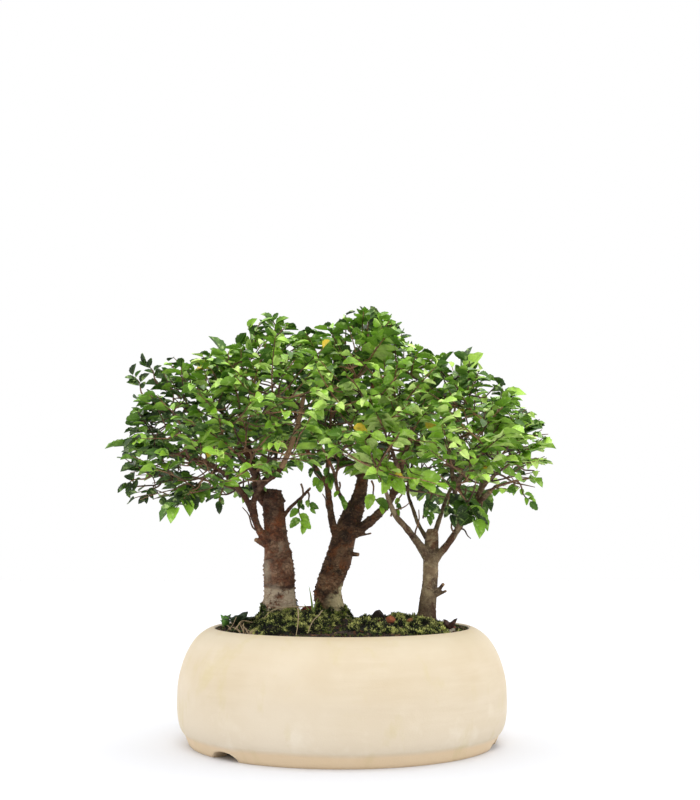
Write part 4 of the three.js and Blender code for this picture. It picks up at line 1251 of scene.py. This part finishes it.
def moss_surface(patch, share, turn):
    """A place on a cushion's skin, and its height above the soil."""
    phase, (cx, cy), (rx, ry) = patch["phase"], patch["centre"], patch["radii"]
    edge = 1 + 0.09 * math.sin(3 * turn + phase) + 0.06 * math.sin(5 * turn - 2 * phase)
    fx, fy = cx + math.cos(turn) * rx * edge, cy + math.sin(turn) * ry * edge
    inside = min(1, MOSS_REACH / math.hypot(fx, fy))
    x, y = mix(cx, fx * inside, share), mix(cy, fy * inside, share)
    spot = Vector((x, y, 0))
    lumps = noise.fractal(spot * 0.13, 0.6, 2.3, 4) * 4.2 + noise.noise(spot * 0.5) * 0.8
    thick = patch["thick"] * math.sqrt(max(0.0, 1 - 0.94 * share * share))
    clear = clear_of_grains(x, y)
    level = max(0.2, thick - 1.1 - 1.5 * (1 - clear)) + lumps * min(1, 3 * (1 - share)) * clear
    return x, y, soil_height(x, y) + level


def clear_of_grains(x, y):
    """0 on a loose grain and just before it, rising to 1 a few millimetres away."""
    def away(grain):
        ahead = (y - grain[1]) * (0.4 if y < grain[1] else 1)
        return math.hypot(x - grain[0], ahead) - grain[2]

    return clamp(min(away(grain) for grain in GRIT.values()) / 4)


def moss_cover(vertex):
    """How thickly shoots stand: in clumps, on what faces up, and not on loose grains."""
    p = (np.array(vertex.co) - AXIS) / MM
    clump = noise.fractal(Vector((p[0], p[1], 0)) * 0.13, 0.6, 2.3, 4)
    thick = np.clip(0.5 + 2.4 * clump, 0.04, 1)
    return float(np.clip((vertex.normal.z - 0.1) * 2, 0, 1) * thick) * clear_of_grains(p[0], p[1])


def cushion(patch):
    sides, rings = 80, 26
    turns = [2 * math.pi * s / sides for s in range(sides)]
    verts = [moss_surface(patch, 1 - r / rings, turn) for r in range(rings) for turn in turns]
    rim = [(x, y) for x, y, _ in (moss_surface(patch, 1.0, turn) for turn in turns)]
    verts += [(x, y, soil_height(x, y) - 3) for x, y in rim]
    middle = len(verts)
    cx, cy = patch["centre"]
    verts += [moss_surface(patch, 0, 0), (cx, cy, soil_height(cx, cy) - 3)]
    last, foot, faces = (rings - 1) * sides, rings * sides, []
    for s, t in sides_of(0, sides):
        faces += [(r + s, r + t, r + sides + t, r + sides + s) for r in range(0, last, sides)]
        faces += [(last + s, last + t, middle), (foot + s, foot + t, t, s), (foot + t, foot + s, middle + 1)]
    return verts, faces


def build_moss(props):
    verts, faces = gather([cushion(patch) for patch in MOSS_PATCHES.values()])
    ground = moss_material("Moss Cushion", (12, 11, 6), (26, 28, 12), (50, 58, 22))
    carpet = mesh_object("moss_cushions", to_metres(verts), faces)
    guide, litter = (linked(name, carpet.data.copy()) for name in ("moss_places", "litter_places"))
    finish_piece(carpet, ground, ["moss_left", "moss_right"])
    attribute(guide, "mask", [moss_cover(v) for v in guide.data.vertices])
    shoots = moss_material("Moss Shoots", (13, 16, 5), (86, 106, 36), (228, 228, 136))
    strew(guide, "moss_shoots", tuft_pattern, shoots, props.moss_density, 0.45, 1.15, 0.6, 11)
    strew_crumbs(litter, "moss_litter", props.crumbs * 0.22, 0.4, 1.3, 17)


def build_grit():
    """Each loose grain as a broken lump with flat faces that fills its solid's box."""
    for name, (x, y, _, colour) in GRIT.items():
        low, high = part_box(name)
        middle, half = (low + high) / 2, (high - low) / 2
        bm = bmesh.new()
        bmesh.ops.create_icosphere(bm, subdivisions=4, radius=1.0)
        draw = seeded(int(1000 + 31 * x + 17 * y))
        cuts = [unit(np.array([draw() - 0.5, draw() - 0.5, draw() - 0.5])) for _ in range(9)]
        for v in bm.verts:
            p = np.array(v.co) * (1.25 + 0.1 * noise.noise(v.co * 5 + middle * 900))
            for i, cut in enumerate(cuts):
                p -= cut * max(0.0, float(np.dot(p, cut)) - 0.62 - 0.03 * i)
            p += np.array(noise_three(v.co * 3 + middle * 900)) * 0.06
            v.co = Vector(max(-1, min(1, c)) * h for c, h in zip(p, half)) + middle
        obj = bmesh_object(name.replace("pebble", "grit"), bm)
        shade_smooth(obj.data)
        finish_piece(obj, grit_material(obj.name.title(), colour), [name])


# ---- undergrowth ----

def on_soil(x, y, lift=0.0):
    return np.array([x, y, soil_height(x, y) + lift])


def leafy_weed(name, x, y, lift, count, long, wide, low, high, tilt):
    """A rosette of small broad leaves on the soil."""
    draw = seeded(int(1000 + x * 7 + y * 13) & 0xFFFF)
    blade = leaf_pattern("weed_blade", 5, 0.25, 0.2, 0.7)
    parts = []
    for k in range(count):
        turn = 2 * math.pi * (k + 0.5 * draw()) / count
        spin = Matrix.Rotation(turn, 4, "Z") @ Matrix.Rotation(tilt + 0.4 * draw(), 4, "X")
        size = 0.7 + 0.5 * draw()
        place = Matrix.Translation(Vector(on_soil(x, y, lift))) @ spin
        place = place @ Matrix.Diagonal((wide * size, long * size, long * size, 1))
        parts.append(([np.array(place @ v.co) for v in blade.data.vertices],
                      [tuple(p.vertices) for p in blade.data.polygons]))
    bpy.data.objects.remove(blade)
    verts, faces = gather(parts)
    material = blade_material(name.replace("_", " ").title(), low, high)
    finish_piece(mesh_object(name, to_metres(verts), faces), material)


def build_undergrowth():
    """The grass tuft, fine pale roots at the rim, weeds and a broad dark leaf."""
    foot, steps = on_soil(-22, -12, 1), np.linspace(0, 1, 9)
    lines = []
    for dx, dy, height, radius in ((-3, -2, 27, 1.0), (4, -5, 18, 0.9), (-7, 3, 13, 0.8)):
        lines.append(([foot + np.array([dx * t * t, dy * t * t, height * t]) for t in steps],
                      [radius * (1 - t**1.5) + 0.12 for t in steps]))
    grass = blade_material("Grass Blade", (104, 132, 54), (160, 178, 92))
    finish_piece(stems("grass_blades", lines, 6, grass), grass, ["grass_tuft"])
    draw = seeded(99)
    fibres = []
    for _ in range(15):
        turn = math.radians(200 + 26 * draw())
        start = on_soil(91 * math.cos(turn), 91 * math.sin(turn), 2)
        lean = np.array([-6 + 14 * draw(), -4 + 8 * draw(), 4 + 8 * draw()])
        fibres.append(([start + lean * t - UP * 4 * t * t for t in np.linspace(0, 1, 6)],
                       [0.34, 0.34, 0.3, 0.26, 0.2, 0.12]))
    for thick, *points in ROOT_STRANDS:
        line = smooth_line([on_soil(*point) for point in points], 2)
        fibres.append((line, taper(thick, 0.25, len(line))))
    pale = blade_material("Pale Root", (206, 184, 146), (148, 120, 86))
    finish_piece(stems("root_fibres", fibres, 5, pale), pale)
    for name, weed in WEEDS.items():
        leafy_weed(name, *weed)


# ---- trunks and limbs ----

def lobe_reach(tree, turn, height):
    """How far root lobes stand out from the trunk's foot."""
    low = clamp((101 - height) / 12) * (0.5 if height < 75 else 1)
    if low <= 0:
        return 0.0
    return 0.6 * low * sum(reach * max(0.0, math.cos(turn - math.radians(degrees))) ** 5
                           for degrees, reach in tree["lobes"])


def wood_parts(name):
    """Trunk, limbs and stubs of one tree as overlapping tubes, and their centre lines with radii."""
    tree = TREES[name]
    line = smooth_line(tree["trunk"], 2.0)
    heights, thick = ([q[k] for q in tree["trunk"]] for k in (2, 3))
    radii = [float(np.interp(p[2], heights, thick)) for p in line]
    parts = [tube(line, radii, 40, lambda turn, p: lobe_reach(tree, turn, p[2]))]
    guide = [(p, r, True) for p, r in zip(line, radii)]
    for start, end, points, _ in tree["limbs"]:
        path = smooth_line(points, 3)
        swell = [1 + 0.45 * math.exp(-i * 3 / (2.2 * start)) + 0.07 * math.sin(i * 1.9 + start * 9)
                 for i in range(len(path))]
        thick = [mix(start, end, i / (len(path) - 1)) * more for i, more in enumerate(swell)]
        parts.append(tube(path, thick, 14))
        guide += [(p, r, False) for p, r in zip(path, thick)]
    for start, end, radius in tree["stubs"]:
        path = taper(vec(start), vec(end), 6)
        parts.append(tube(path, taper(radius * 1.5, radius * 0.85, 6), 12))
        guide += [(p, radius, False) for p in path]
    return parts, guide


def bark_relief(name, depth, p, radius):
    """How far the bark stands out at a place, and how deep in a crack it lies."""
    q = Vector(p)
    lumps = noise.noise(q * 0.11) * 0.55 + noise.noise(q * 0.28) * 0.3
    level = Vector((p[0], p[1], p[2] * 1.7)) * 0.3
    nearest = noise.voronoi(level + noise_three(q * 0.25) * 0.6)[0]
    crack = 1 - min(1.0, (nearest[1] - nearest[0]) * 3.6)
    rings = max(0.0, math.sin(p[2] * 1.55 + 3.2 * noise.noise(q * 0.16))) ** 3
    knobs = max(0.0, noise.noise(Vector((p[0], p[1], p[2] * 1.4)) * 0.42)) ** 2 * 2.6
    fine = noise.noise(q * 1.3) * 0.16
    rough = min(1.0, radius / 8) * depth
    if name == "right":
        return (lumps * 0.6 - crack * 0.16 + rings * 0.16 + fine) * rough * 1.3, crack * 0.35
    ridge = 0.5 if name == "middle" else 0.34
    return (lumps - crack * 0.5 + rings * ridge + knobs + fine) * rough, crack * 0.8


def darkness(name, p, side, trunk):
    """How much darker a place on the bark is than the rest: painted shade high on the left tree near its cut
    top, and at the middle tree's fork and down its left side; the right trunk darker near its foot, and its
    limbs darker.
    """
    wave = 6 * noise.noise(Vector(p) * 0.08)
    if name == "left":
        return clamp((p[2] + wave - 164) / 12, 0, 0.7)
    if name == "middle":
        fork = clamp((p[2] + wave - 146) / 10) * clamp((196 + wave - p[2]) / 14)
        return max(0.6 * fork, 0.65 * clamp(0.1 - side) * clamp((p[2] + wave - 124) / 30))
    return max(clamp((122 + 2 * wave - p[2]) / 22, 0, 0.75), 0.0 if trunk else 0.5)


def trunk_marks(name, p, side):
    """Lichen and moss at a place on a rough trunk, and the dark line at the lichen's edge."""
    q = Vector(p)
    mossy, line = clamp((105 + 8 * noise.noise(q * 0.13) - p[2]) / 4), 0.0
    if name == "middle":
        return clamp((112 - p[2] + 10 * side) / 5) * max(0, side + 0.5) * 0.9, mossy, line
    edge = 118 + 2.5 * noise.noise(q * 0.09)
    if abs(p[2] - edge - 0.8) < 1.2:
        line = 0.9
    pale = noise.noise(q * 0.07 + Vector((3, 1, 2))) * clamp((170 - p[2]) / 40, 0.2, 1)
    streak = math.exp(-((p[2] - 131) / 9) ** 2 - ((p[0] + 57) / 3.5) ** 2)
    return max(clamp((edge - p[2]) / 2) * 0.95, 0.55 * clamp(pale * 3 - 0.4), 0.7 * streak), mossy, line


def fresh_cut(name, p, axis_point, ends):
    """How much bare wood shows: at cut ends, and all along the pale limb."""
    for end in ends:
        if np.linalg.norm(p - end) < 2.4 and np.dot(p - end, end - axis_point) > -0.2:
            return 0.8
    pale = name == "left" and p[2] > 200 and min(np.linalg.norm(p - q) for q in PALE_LIMB) < 4
    return 0.95 if pale else 0.0


def in_order(obj, name):
    """The same mesh with its vertices and faces sorted: what is strewn over it falls the same in each run."""
    spots = sorted((tuple(v.co), v.index) for v in obj.data.vertices)
    place = {index: i for i, (_, index) in enumerate(spots)}
    faces = []
    for polygon in obj.data.polygons:
        ring = [place[i] for i in polygon.vertices]
        first = ring.index(min(ring))
        faces.append(ring[first:] + ring[:first])
    bpy.data.objects.remove(obj)
    return mesh_object(name, [co for co, _ in spots], sorted(faces))


def build_wood(props, name):
    parts, guide = wood_parts(name)
    verts, faces = gather(parts)
    rough = mesh_object("wood_draft", to_metres(verts), faces)
    shrink = rough.modifiers.new("Skin", "REMESH")
    shrink.mode, shrink.voxel_size = "VOXEL", props.wood_voxel
    rough = in_order(baked(rough, "wood_skin"), "wood_draft")
    soften = rough.modifiers.new("Soften", "SMOOTH")
    soften.factor, soften.iterations = 0.5, 2
    obj = baked(rough, f"tree_{name}")
    tree = kdtree.KDTree(len(guide))
    for i, (p, _, _) in enumerate(guide):
        tree.insert(Vector(to_metres(p)), i)
    tree.balance()
    marks = {label: np.zeros(len(obj.data.vertices)) for label in ("crack", "lichen", "mossy", "cut", "gloom")}
    ends = [vec(points[-1]) for _, _, points, end in TREES[name]["limbs"] if end == "cut"]
    ends += [vec(end) for _, end, _ in TREES[name]["stubs"]]
    normals = [v.normal.copy() for v in obj.data.vertices]
    for i, v in enumerate(obj.data.vertices):
        axis_point, radius, trunk = guide[tree.find(v.co)[1]]
        p = (np.array(v.co) - AXIS) / MM
        side = (p[0] - axis_point[0]) / radius
        relief, crack = bark_relief(name, props.bark_depth, p, radius)
        v.co += normals[i] * relief * MM
        lichen, mossy, line = trunk_marks(name, p, side) if trunk and name != "right" else (0.0, 0.0, 0.0)
        values = (max(crack * min(1.0, radius / 5), line), lichen, mossy, fresh_cut(name, p, axis_point, ends),
                  darkness(name, p, side, trunk))
        for mark, value in zip(marks.values(), values):
            mark[i] = value
    for label, values in marks.items():
        attribute(obj, label, values)
    shade_smooth(obj.data)
    obj.data.update()
    finish_piece(obj, bark_material(*BARK_LOOKS[name]),
                 [f"wood_{name}"])
    if name == "right":
        return
    places = linked("trunk_moss_places", obj.data.copy())
    bm = bmesh.new()
    bm.from_mesh(places.data)
    layer = bm.verts.layers.float["mossy"]
    bmesh.ops.delete(bm, geom=[v for v in bm.verts if v[layer] < 0.25], context="VERTS")
    bm.to_mesh(places.data)
    bm.free()
    mossy = np.zeros(len(places.data.vertices))
    places.data.attributes["mossy"].data.foreach_get("value", mossy)
    attribute(places, "mask", np.clip(mossy * 1.6 - 0.5, 0, 1))
    moss = moss_material(f"Moss On {name.title()}", (22, 28, 8), (84, 104, 34), (186, 194, 100))
    strew(places, f"moss_on_{name}", tuft_pattern, moss, 330000, 0.4, 1.0, 0.6, 5)


# ---- leaves and twigs ----

def leaf_pattern(name, teeth, curl, fold, broad):
    """A closed thin blade one unit long along +Y, with a short stalk, toothed and folded at its midrib."""
    stations = [0.1] + [0.1 + 0.9 * (k + 1) / (teeth + 1) for k in range(teeth)]
    rib = [0.0, 0.1, 0.4, 0.7, 1.0]

    def half(v):
        t = (v - 0.1) / 0.9
        return 0.5 * max(0.0, math.sin(math.pi * t**broad)) ** 0.62 * (1 - 0.12 * t)

    def lift(u, v):
        return fold * abs(u) - curl * v * v

    verts, uvs = [(0, v, lift(0, v)) for v in rib], [(0.5, v) for v in rib]
    edges, faces = [], []
    for hand in (1, -1):
        edge = [0]
        for k, v in enumerate(stations):
            wide = 0.014 if k == 0 else half(v) * (1.06 if k % 2 else 0.95)
            edge.append(len(verts))
            verts.append((hand * wide, v + (0.02 if k % 2 else -0.005), lift(wide, v)))
            uvs.append((0.5 + hand * wide, v))
        edges.append(edge + [len(rib) - 1])

    def strip(outer, flip):
        """Triangles between the rib and an edge, each step on the side that lags behind."""
        i = j = 0
        while i < len(rib) - 1 or j < len(outer) - 1:
            go_outer = i == len(rib) - 1 or (j < len(outer) - 1 and
                                             verts[outer[j + 1]][1] <= verts[i + 1][1] + 0.02)
            face = (i, outer[j], outer[j + 1] if go_outer else i + 1)
            i, j = (i, j + 1) if go_outer else (i + 1, j)
            if len(set(face)) == 3:
                faces.append(face[::-1] if flip else face)

    strip(edges[0], False)
    strip(edges[1], True)
    lower = {}
    for i in sorted(set(range(len(rib))) - set(edges[0] + edges[1])):
        lower[i] = len(verts)
        x, y, z = verts[i]
        verts.append((x, y, z - 0.03))
        uvs.append(uvs[i])
    bottom = [tuple(lower.get(i, i) for i in face)[::-1] for face in faces]
    mesh = bpy.data.meshes.new(name)
    mesh.from_pydata(verts, [], faces + bottom)
    layer = mesh.uv_layers.new(name="blade")
    for poly in mesh.polygons:
        shift = 2.0 if poly.index >= len(faces) else 0.0
        for loop in poly.loop_indices:
            u, v = uvs[mesh.loops[loop].vertex_index]
            layer.data[loop].uv = (u + shift, v)
    shade_smooth(mesh)
    rim = {tuple(sorted(pair)) for edge in edges for pair in zip(edge, edge[1:])}
    sharp = mesh.attributes.new("sharp_edge", "BOOLEAN", "EDGE")
    sharp.data.foreach_set("value", [tuple(sorted(e.vertices)) in rim for e in mesh.edges])
    return linked(name, mesh)


def sunlit(p):
    """Painted light and shade on the leaves: lighter at the right end and before the middle tree,
    painted shade at the left end, inside the crown and where leaves hang below it."""
    inner = 0.26 * math.exp(-((p[1] - 4) / 48) ** 2)
    return (0.18 * near(p, 38, 215, 52, 60) + 0.3 * near(p, 138, 210, 34, 50) -
            0.34 * near(p, -150, 240, 40, 60) - 0.5 * near(p, -108, 184, 40, 18) -
            0.45 * near(p, 100, 178, 30, 18) - inner + 0.05)


def build_foliage(props):
    main, branches, fine = grow_planting(props.fine_sprays)
    leaves, twigs = [], {name: [] for name in TREES}

    def add_twig(tree, path, start, end):
        twigs[tree].append((path, taper(start, end, len(path))))

    for i, spray in enumerate(main + fine):
        twig, found = spray_leaves(spray, seeded(leaf_seed(i)), seeded(leaf_seed(i) ^ VARY_SEED))
        add_twig(spray["tree"], twig, spray["to"] if "length" in spray else SOLID_SPRAY["twig"], 0.3)
        leaves += found
    for i, (tree, *rest) in enumerate(HANGING):
        twig, found = hanging_leaves(tree, *rest, seeded(leaf_seed(5000 + i)))
        add_twig(tree, twig, 0.8, 0.35)
        leaves += found
    for branch in branches:
        add_twig(branch["tree"], smooth_line(branch["path"], 5), branch["from"], SOLID_SPRAY["twig"])
    for branch in fine:
        add_twig(branch["tree"], branch["path"], branch["from"], branch["to"])
    bark = twig_material()
    for name, lines in twigs.items():
        finish_piece(stems(f"twigs_{name}", lines, 6, bark), bark)
    blades = [leaf_pattern(*blade) for blade in BLADES]
    material, scatter = leaf_material(props), leaf_scatter()
    for name in TREES:
        own = [leaf for leaf in leaves if leaf["tree"] == name and leaf_in_box(leaf)]
        obj = mesh_object(f"leaf_places_{name}", to_metres([leaf["base"] for leaf in own]), [])
        for label, kind, value in (
                ("turn", "QUATERNION",
                 lambda leaf: tuple(Matrix(leaf["axes"]).transposed().to_quaternion())),
                ("size", "FLOAT_VECTOR",
                 lambda leaf: (leaf["width"] * MM, leaf["length"] * MM, leaf["length"] * MM)),
                ("tint", "FLOAT", lambda leaf: leaf["tint"]),
                # Painted light and shade on each leaf, lighter or darker by its place in the crown.
                ("light_and_shade", "FLOAT", lambda leaf: sunlit(leaf["base"])),
                ("kind", "INT", lambda leaf: int(leaf["tint"] * 997) % len(BLADES))):
            attribute(obj, label, [value(leaf) for leaf in own], kind)
        foliage = scatter.run(obj, f"leaves_{name}", blades, scale=props.leaf_scale, material=material)
        finish_piece(foliage, material,
                     sorted(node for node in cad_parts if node.startswith(f"spray_{name}_")))
    for blade in blades:
        bpy.data.objects.remove(blade)


# ---- the stage ----

def build_stage():
    size = 3.0
    floor = mesh_object("studio_floor", [(x, y, 0) for x, y in ((-size, -size), (size, -size), (size, size),
                                                                (-size, size))], [(0, 1, 2, 3)], smooth=False)
    floor.data.materials.append(Shader("Studio Floor").finish((0.70, 0.705, 0.735, 1), 1.0, specular=0))
    world = bpy.data.worlds.new("Studio")
    world.use_nodes = True
    bpy.context.scene.world = world
    sky = Tree()
    sky.tree = world.node_tree
    way = sky.node("ShaderNodeSeparateXYZ", {0: sky.node("ShaderNodeTexCoord").outputs["Generated"]}).outputs
    # brighter from above and behind the camera than from the sides, and white to the camera itself
    strength = sky.math("MULTIPLY", sky.range(way["Z"], 0.2, 0.9, 1.0, 2.4),
                        sky.range(way["Y"], 0.1, -0.6, 1.0, 0.5))
    camera_ray = sky.node("ShaderNodeLightPath").outputs["Is Camera Ray"]
    shown = sky.node("ShaderNodeMix", {"Factor": camera_ray, "A": strength, "B": 1.0})
    back = sky.tree.nodes["Background"]
    back.inputs["Color"].default_value = (1, 1, 1, 1)
    sky.feed(back.inputs["Strength"], shown.outputs["Result"])
    light = bpy.data.lights.new("key", "AREA")
    light.energy, light.size = 7, 0.7
    lamp = linked("key", light)
    lamp.location = (0.15, -1.1, 1.4)
    target = Vector((AXIS[0], 0, 0.16))
    lamp.rotation_euler = (target - lamp.location).to_track_quat("-Z", "Y").to_euler()
    camera = bpy.data.cameras.new("photo_view")
    camera.lens, camera.sensor_width = 56.25, 36.0
    camera.shift_x, camera.shift_y = 0.01, 0.1625
    camera.clip_start = 0.05
    view = linked("photo_view", camera)
    view.location = (AXIS[0], AXIS[1] - EYE_DISTANCE * MM, EYE_HEIGHT * MM)
    view.rotation_euler = (math.radians(90), 0, 0)
    bpy.context.scene.camera = view
    bpy.context.scene.view_settings.view_transform = "Standard"


# ---- properties, operators and panel ----

class BonsaiPotSettings(bpy.types.PropertyGroup):
    stoneware: bpy.props.FloatVectorProperty(
        name="Stoneware", description="Main colour of the unglazed pot", subtype="COLOR", size=3,
        default=rgba(224, 209, 184)[:3], min=0, max=1)


class BonsaiGroundSettings(bpy.types.PropertyGroup):
    moss_density: bpy.props.FloatProperty(
        name="Moss density", description="Moss shoots per square metre", default=620000, min=0)
    crumbs: bpy.props.FloatProperty(
        name="Soil crumbs", description="Soil crumbs per square metre", default=120000, min=0)


class BonsaiTreeSettings(bpy.types.PropertyGroup):
    wood_voxel: bpy.props.FloatProperty(
        name="Wood detail", description="Size of the finest detail of trunks and limbs", default=0.0007,
        min=0.0003, unit="LENGTH")
    bark_depth: bpy.props.FloatProperty(
        name="Bark depth", description="How far plates and cracks stand out", default=1.0, min=0)
    fine_sprays: bpy.props.IntProperty(
        name="Fine sprays", description="Leafy sprays besides those of the solid model", default=620, min=0)
    leaf_scale: bpy.props.FloatProperty(
        name="Leaf scale", description="Size of every leaf", default=1.0, min=0.1)
    freshness: bpy.props.FloatProperty(
        name="Freshness", description="How bright the green is", default=1.0, min=0, max=1)


class BonsaiStep:
    bl_options = {"REGISTER", "UNDO"}


class BONSAI_OT_pot(BonsaiStep, bpy.types.Operator):
    """Turn the round incurved pot, with its foot band, notches and drain hole"""
    bl_idname = "bonsai.pot"
    bl_label = "Pot"

    def execute(self, context):
        build_pot(settings(context)[0])
        return {"FINISHED"}


class BONSAI_OT_soil(BonsaiStep, bpy.types.Operator):
    """Fill the pot with crumbly soil"""
    bl_idname = "bonsai.soil"
    bl_label = "Soil"

    def execute(self, context):
        build_soil(settings(context)[1])
        return {"FINISHED"}


class BONSAI_OT_moss(BonsaiStep, bpy.types.Operator):
    """Lay the moss cushions and their shoots"""
    bl_idname = "bonsai.moss"
    bl_label = "Moss"

    def execute(self, context):
        build_moss(settings(context)[1])
        return {"FINISHED"}


class BONSAI_OT_grit(BonsaiStep, bpy.types.Operator):
    """Shape the loose grains and chips on the soil"""
    bl_idname = "bonsai.grit"
    bl_label = "Grit"

    def execute(self, context):
        build_grit()
        return {"FINISHED"}


class BONSAI_OT_undergrowth(BonsaiStep, bpy.types.Operator):
    """Grow the grass tuft, fine roots and weeds"""
    bl_idname = "bonsai.undergrowth"
    bl_label = "Undergrowth"

    def execute(self, context):
        build_undergrowth()
        return {"FINISHED"}


class BONSAI_OT_wood(BonsaiStep, bpy.types.Operator):
    """Model trunks, limbs and stubs with their bark"""
    bl_idname = "bonsai.wood"
    bl_label = "Trunks and limbs"

    def execute(self, context):
        for name in TREES:
            build_wood(settings(context)[2], name)
        return {"FINISHED"}


class BONSAI_OT_foliage(BonsaiStep, bpy.types.Operator):
    """Grow twigs and leaves"""
    bl_idname = "bonsai.foliage"
    bl_label = "Twigs and leaves"

    def execute(self, context):
        build_foliage(settings(context)[2])
        return {"FINISHED"}


class BONSAI_OT_stage(BonsaiStep, bpy.types.Operator):
    """Set up the floor, the lights and the camera"""
    bl_idname = "bonsai.stage"
    bl_label = "Studio"

    def execute(self, context):
        build_stage()
        return {"FINISHED"}


STEPS = (BONSAI_OT_stage, BONSAI_OT_pot, BONSAI_OT_soil, BONSAI_OT_moss, BONSAI_OT_grit,
         BONSAI_OT_undergrowth, BONSAI_OT_wood, BONSAI_OT_foliage)


class BONSAI_PT_panel(bpy.types.Panel):
    """Lists the settings and the steps"""
    bl_idname = "BONSAI_PT_panel"
    bl_label = "Forest bonsai"
    bl_space_type = "VIEW_3D"
    bl_region_type = "UI"
    bl_category = "Bonsai"

    def draw(self, context):
        pot, ground, tree = settings(context)
        for group in (pot, ground, tree):
            for key in group.__annotations__:
                self.layout.prop(group, key)
        for step in STEPS:
            self.layout.operator(step.bl_idname)


GROUPS = (BonsaiPotSettings, BonsaiGroundSettings, BonsaiTreeSettings)


def register():
    for cls in (*GROUPS, *STEPS, BONSAI_PT_panel):
        bpy.utils.register_class(cls)
    bpy.types.Scene.bonsai_pot = bpy.props.PointerProperty(type=BonsaiPotSettings)
    bpy.types.Scene.bonsai_ground = bpy.props.PointerProperty(type=BonsaiGroundSettings)
    bpy.types.Scene.bonsai_tree = bpy.props.PointerProperty(type=BonsaiTreeSettings)


def unregister():
    for key in ("bonsai_pot", "bonsai_ground", "bonsai_tree"):
        delattr(bpy.types.Scene, key)
    for cls in reversed((*GROUPS, *STEPS, BONSAI_PT_panel)):
        bpy.utils.unregister_class(cls)


def main():
    register()
    for step in STEPS:
        section, name = step.bl_idname.split(".")
        getattr(getattr(bpy.ops, section), name)()
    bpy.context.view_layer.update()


if __name__ == "__main__":
    main()
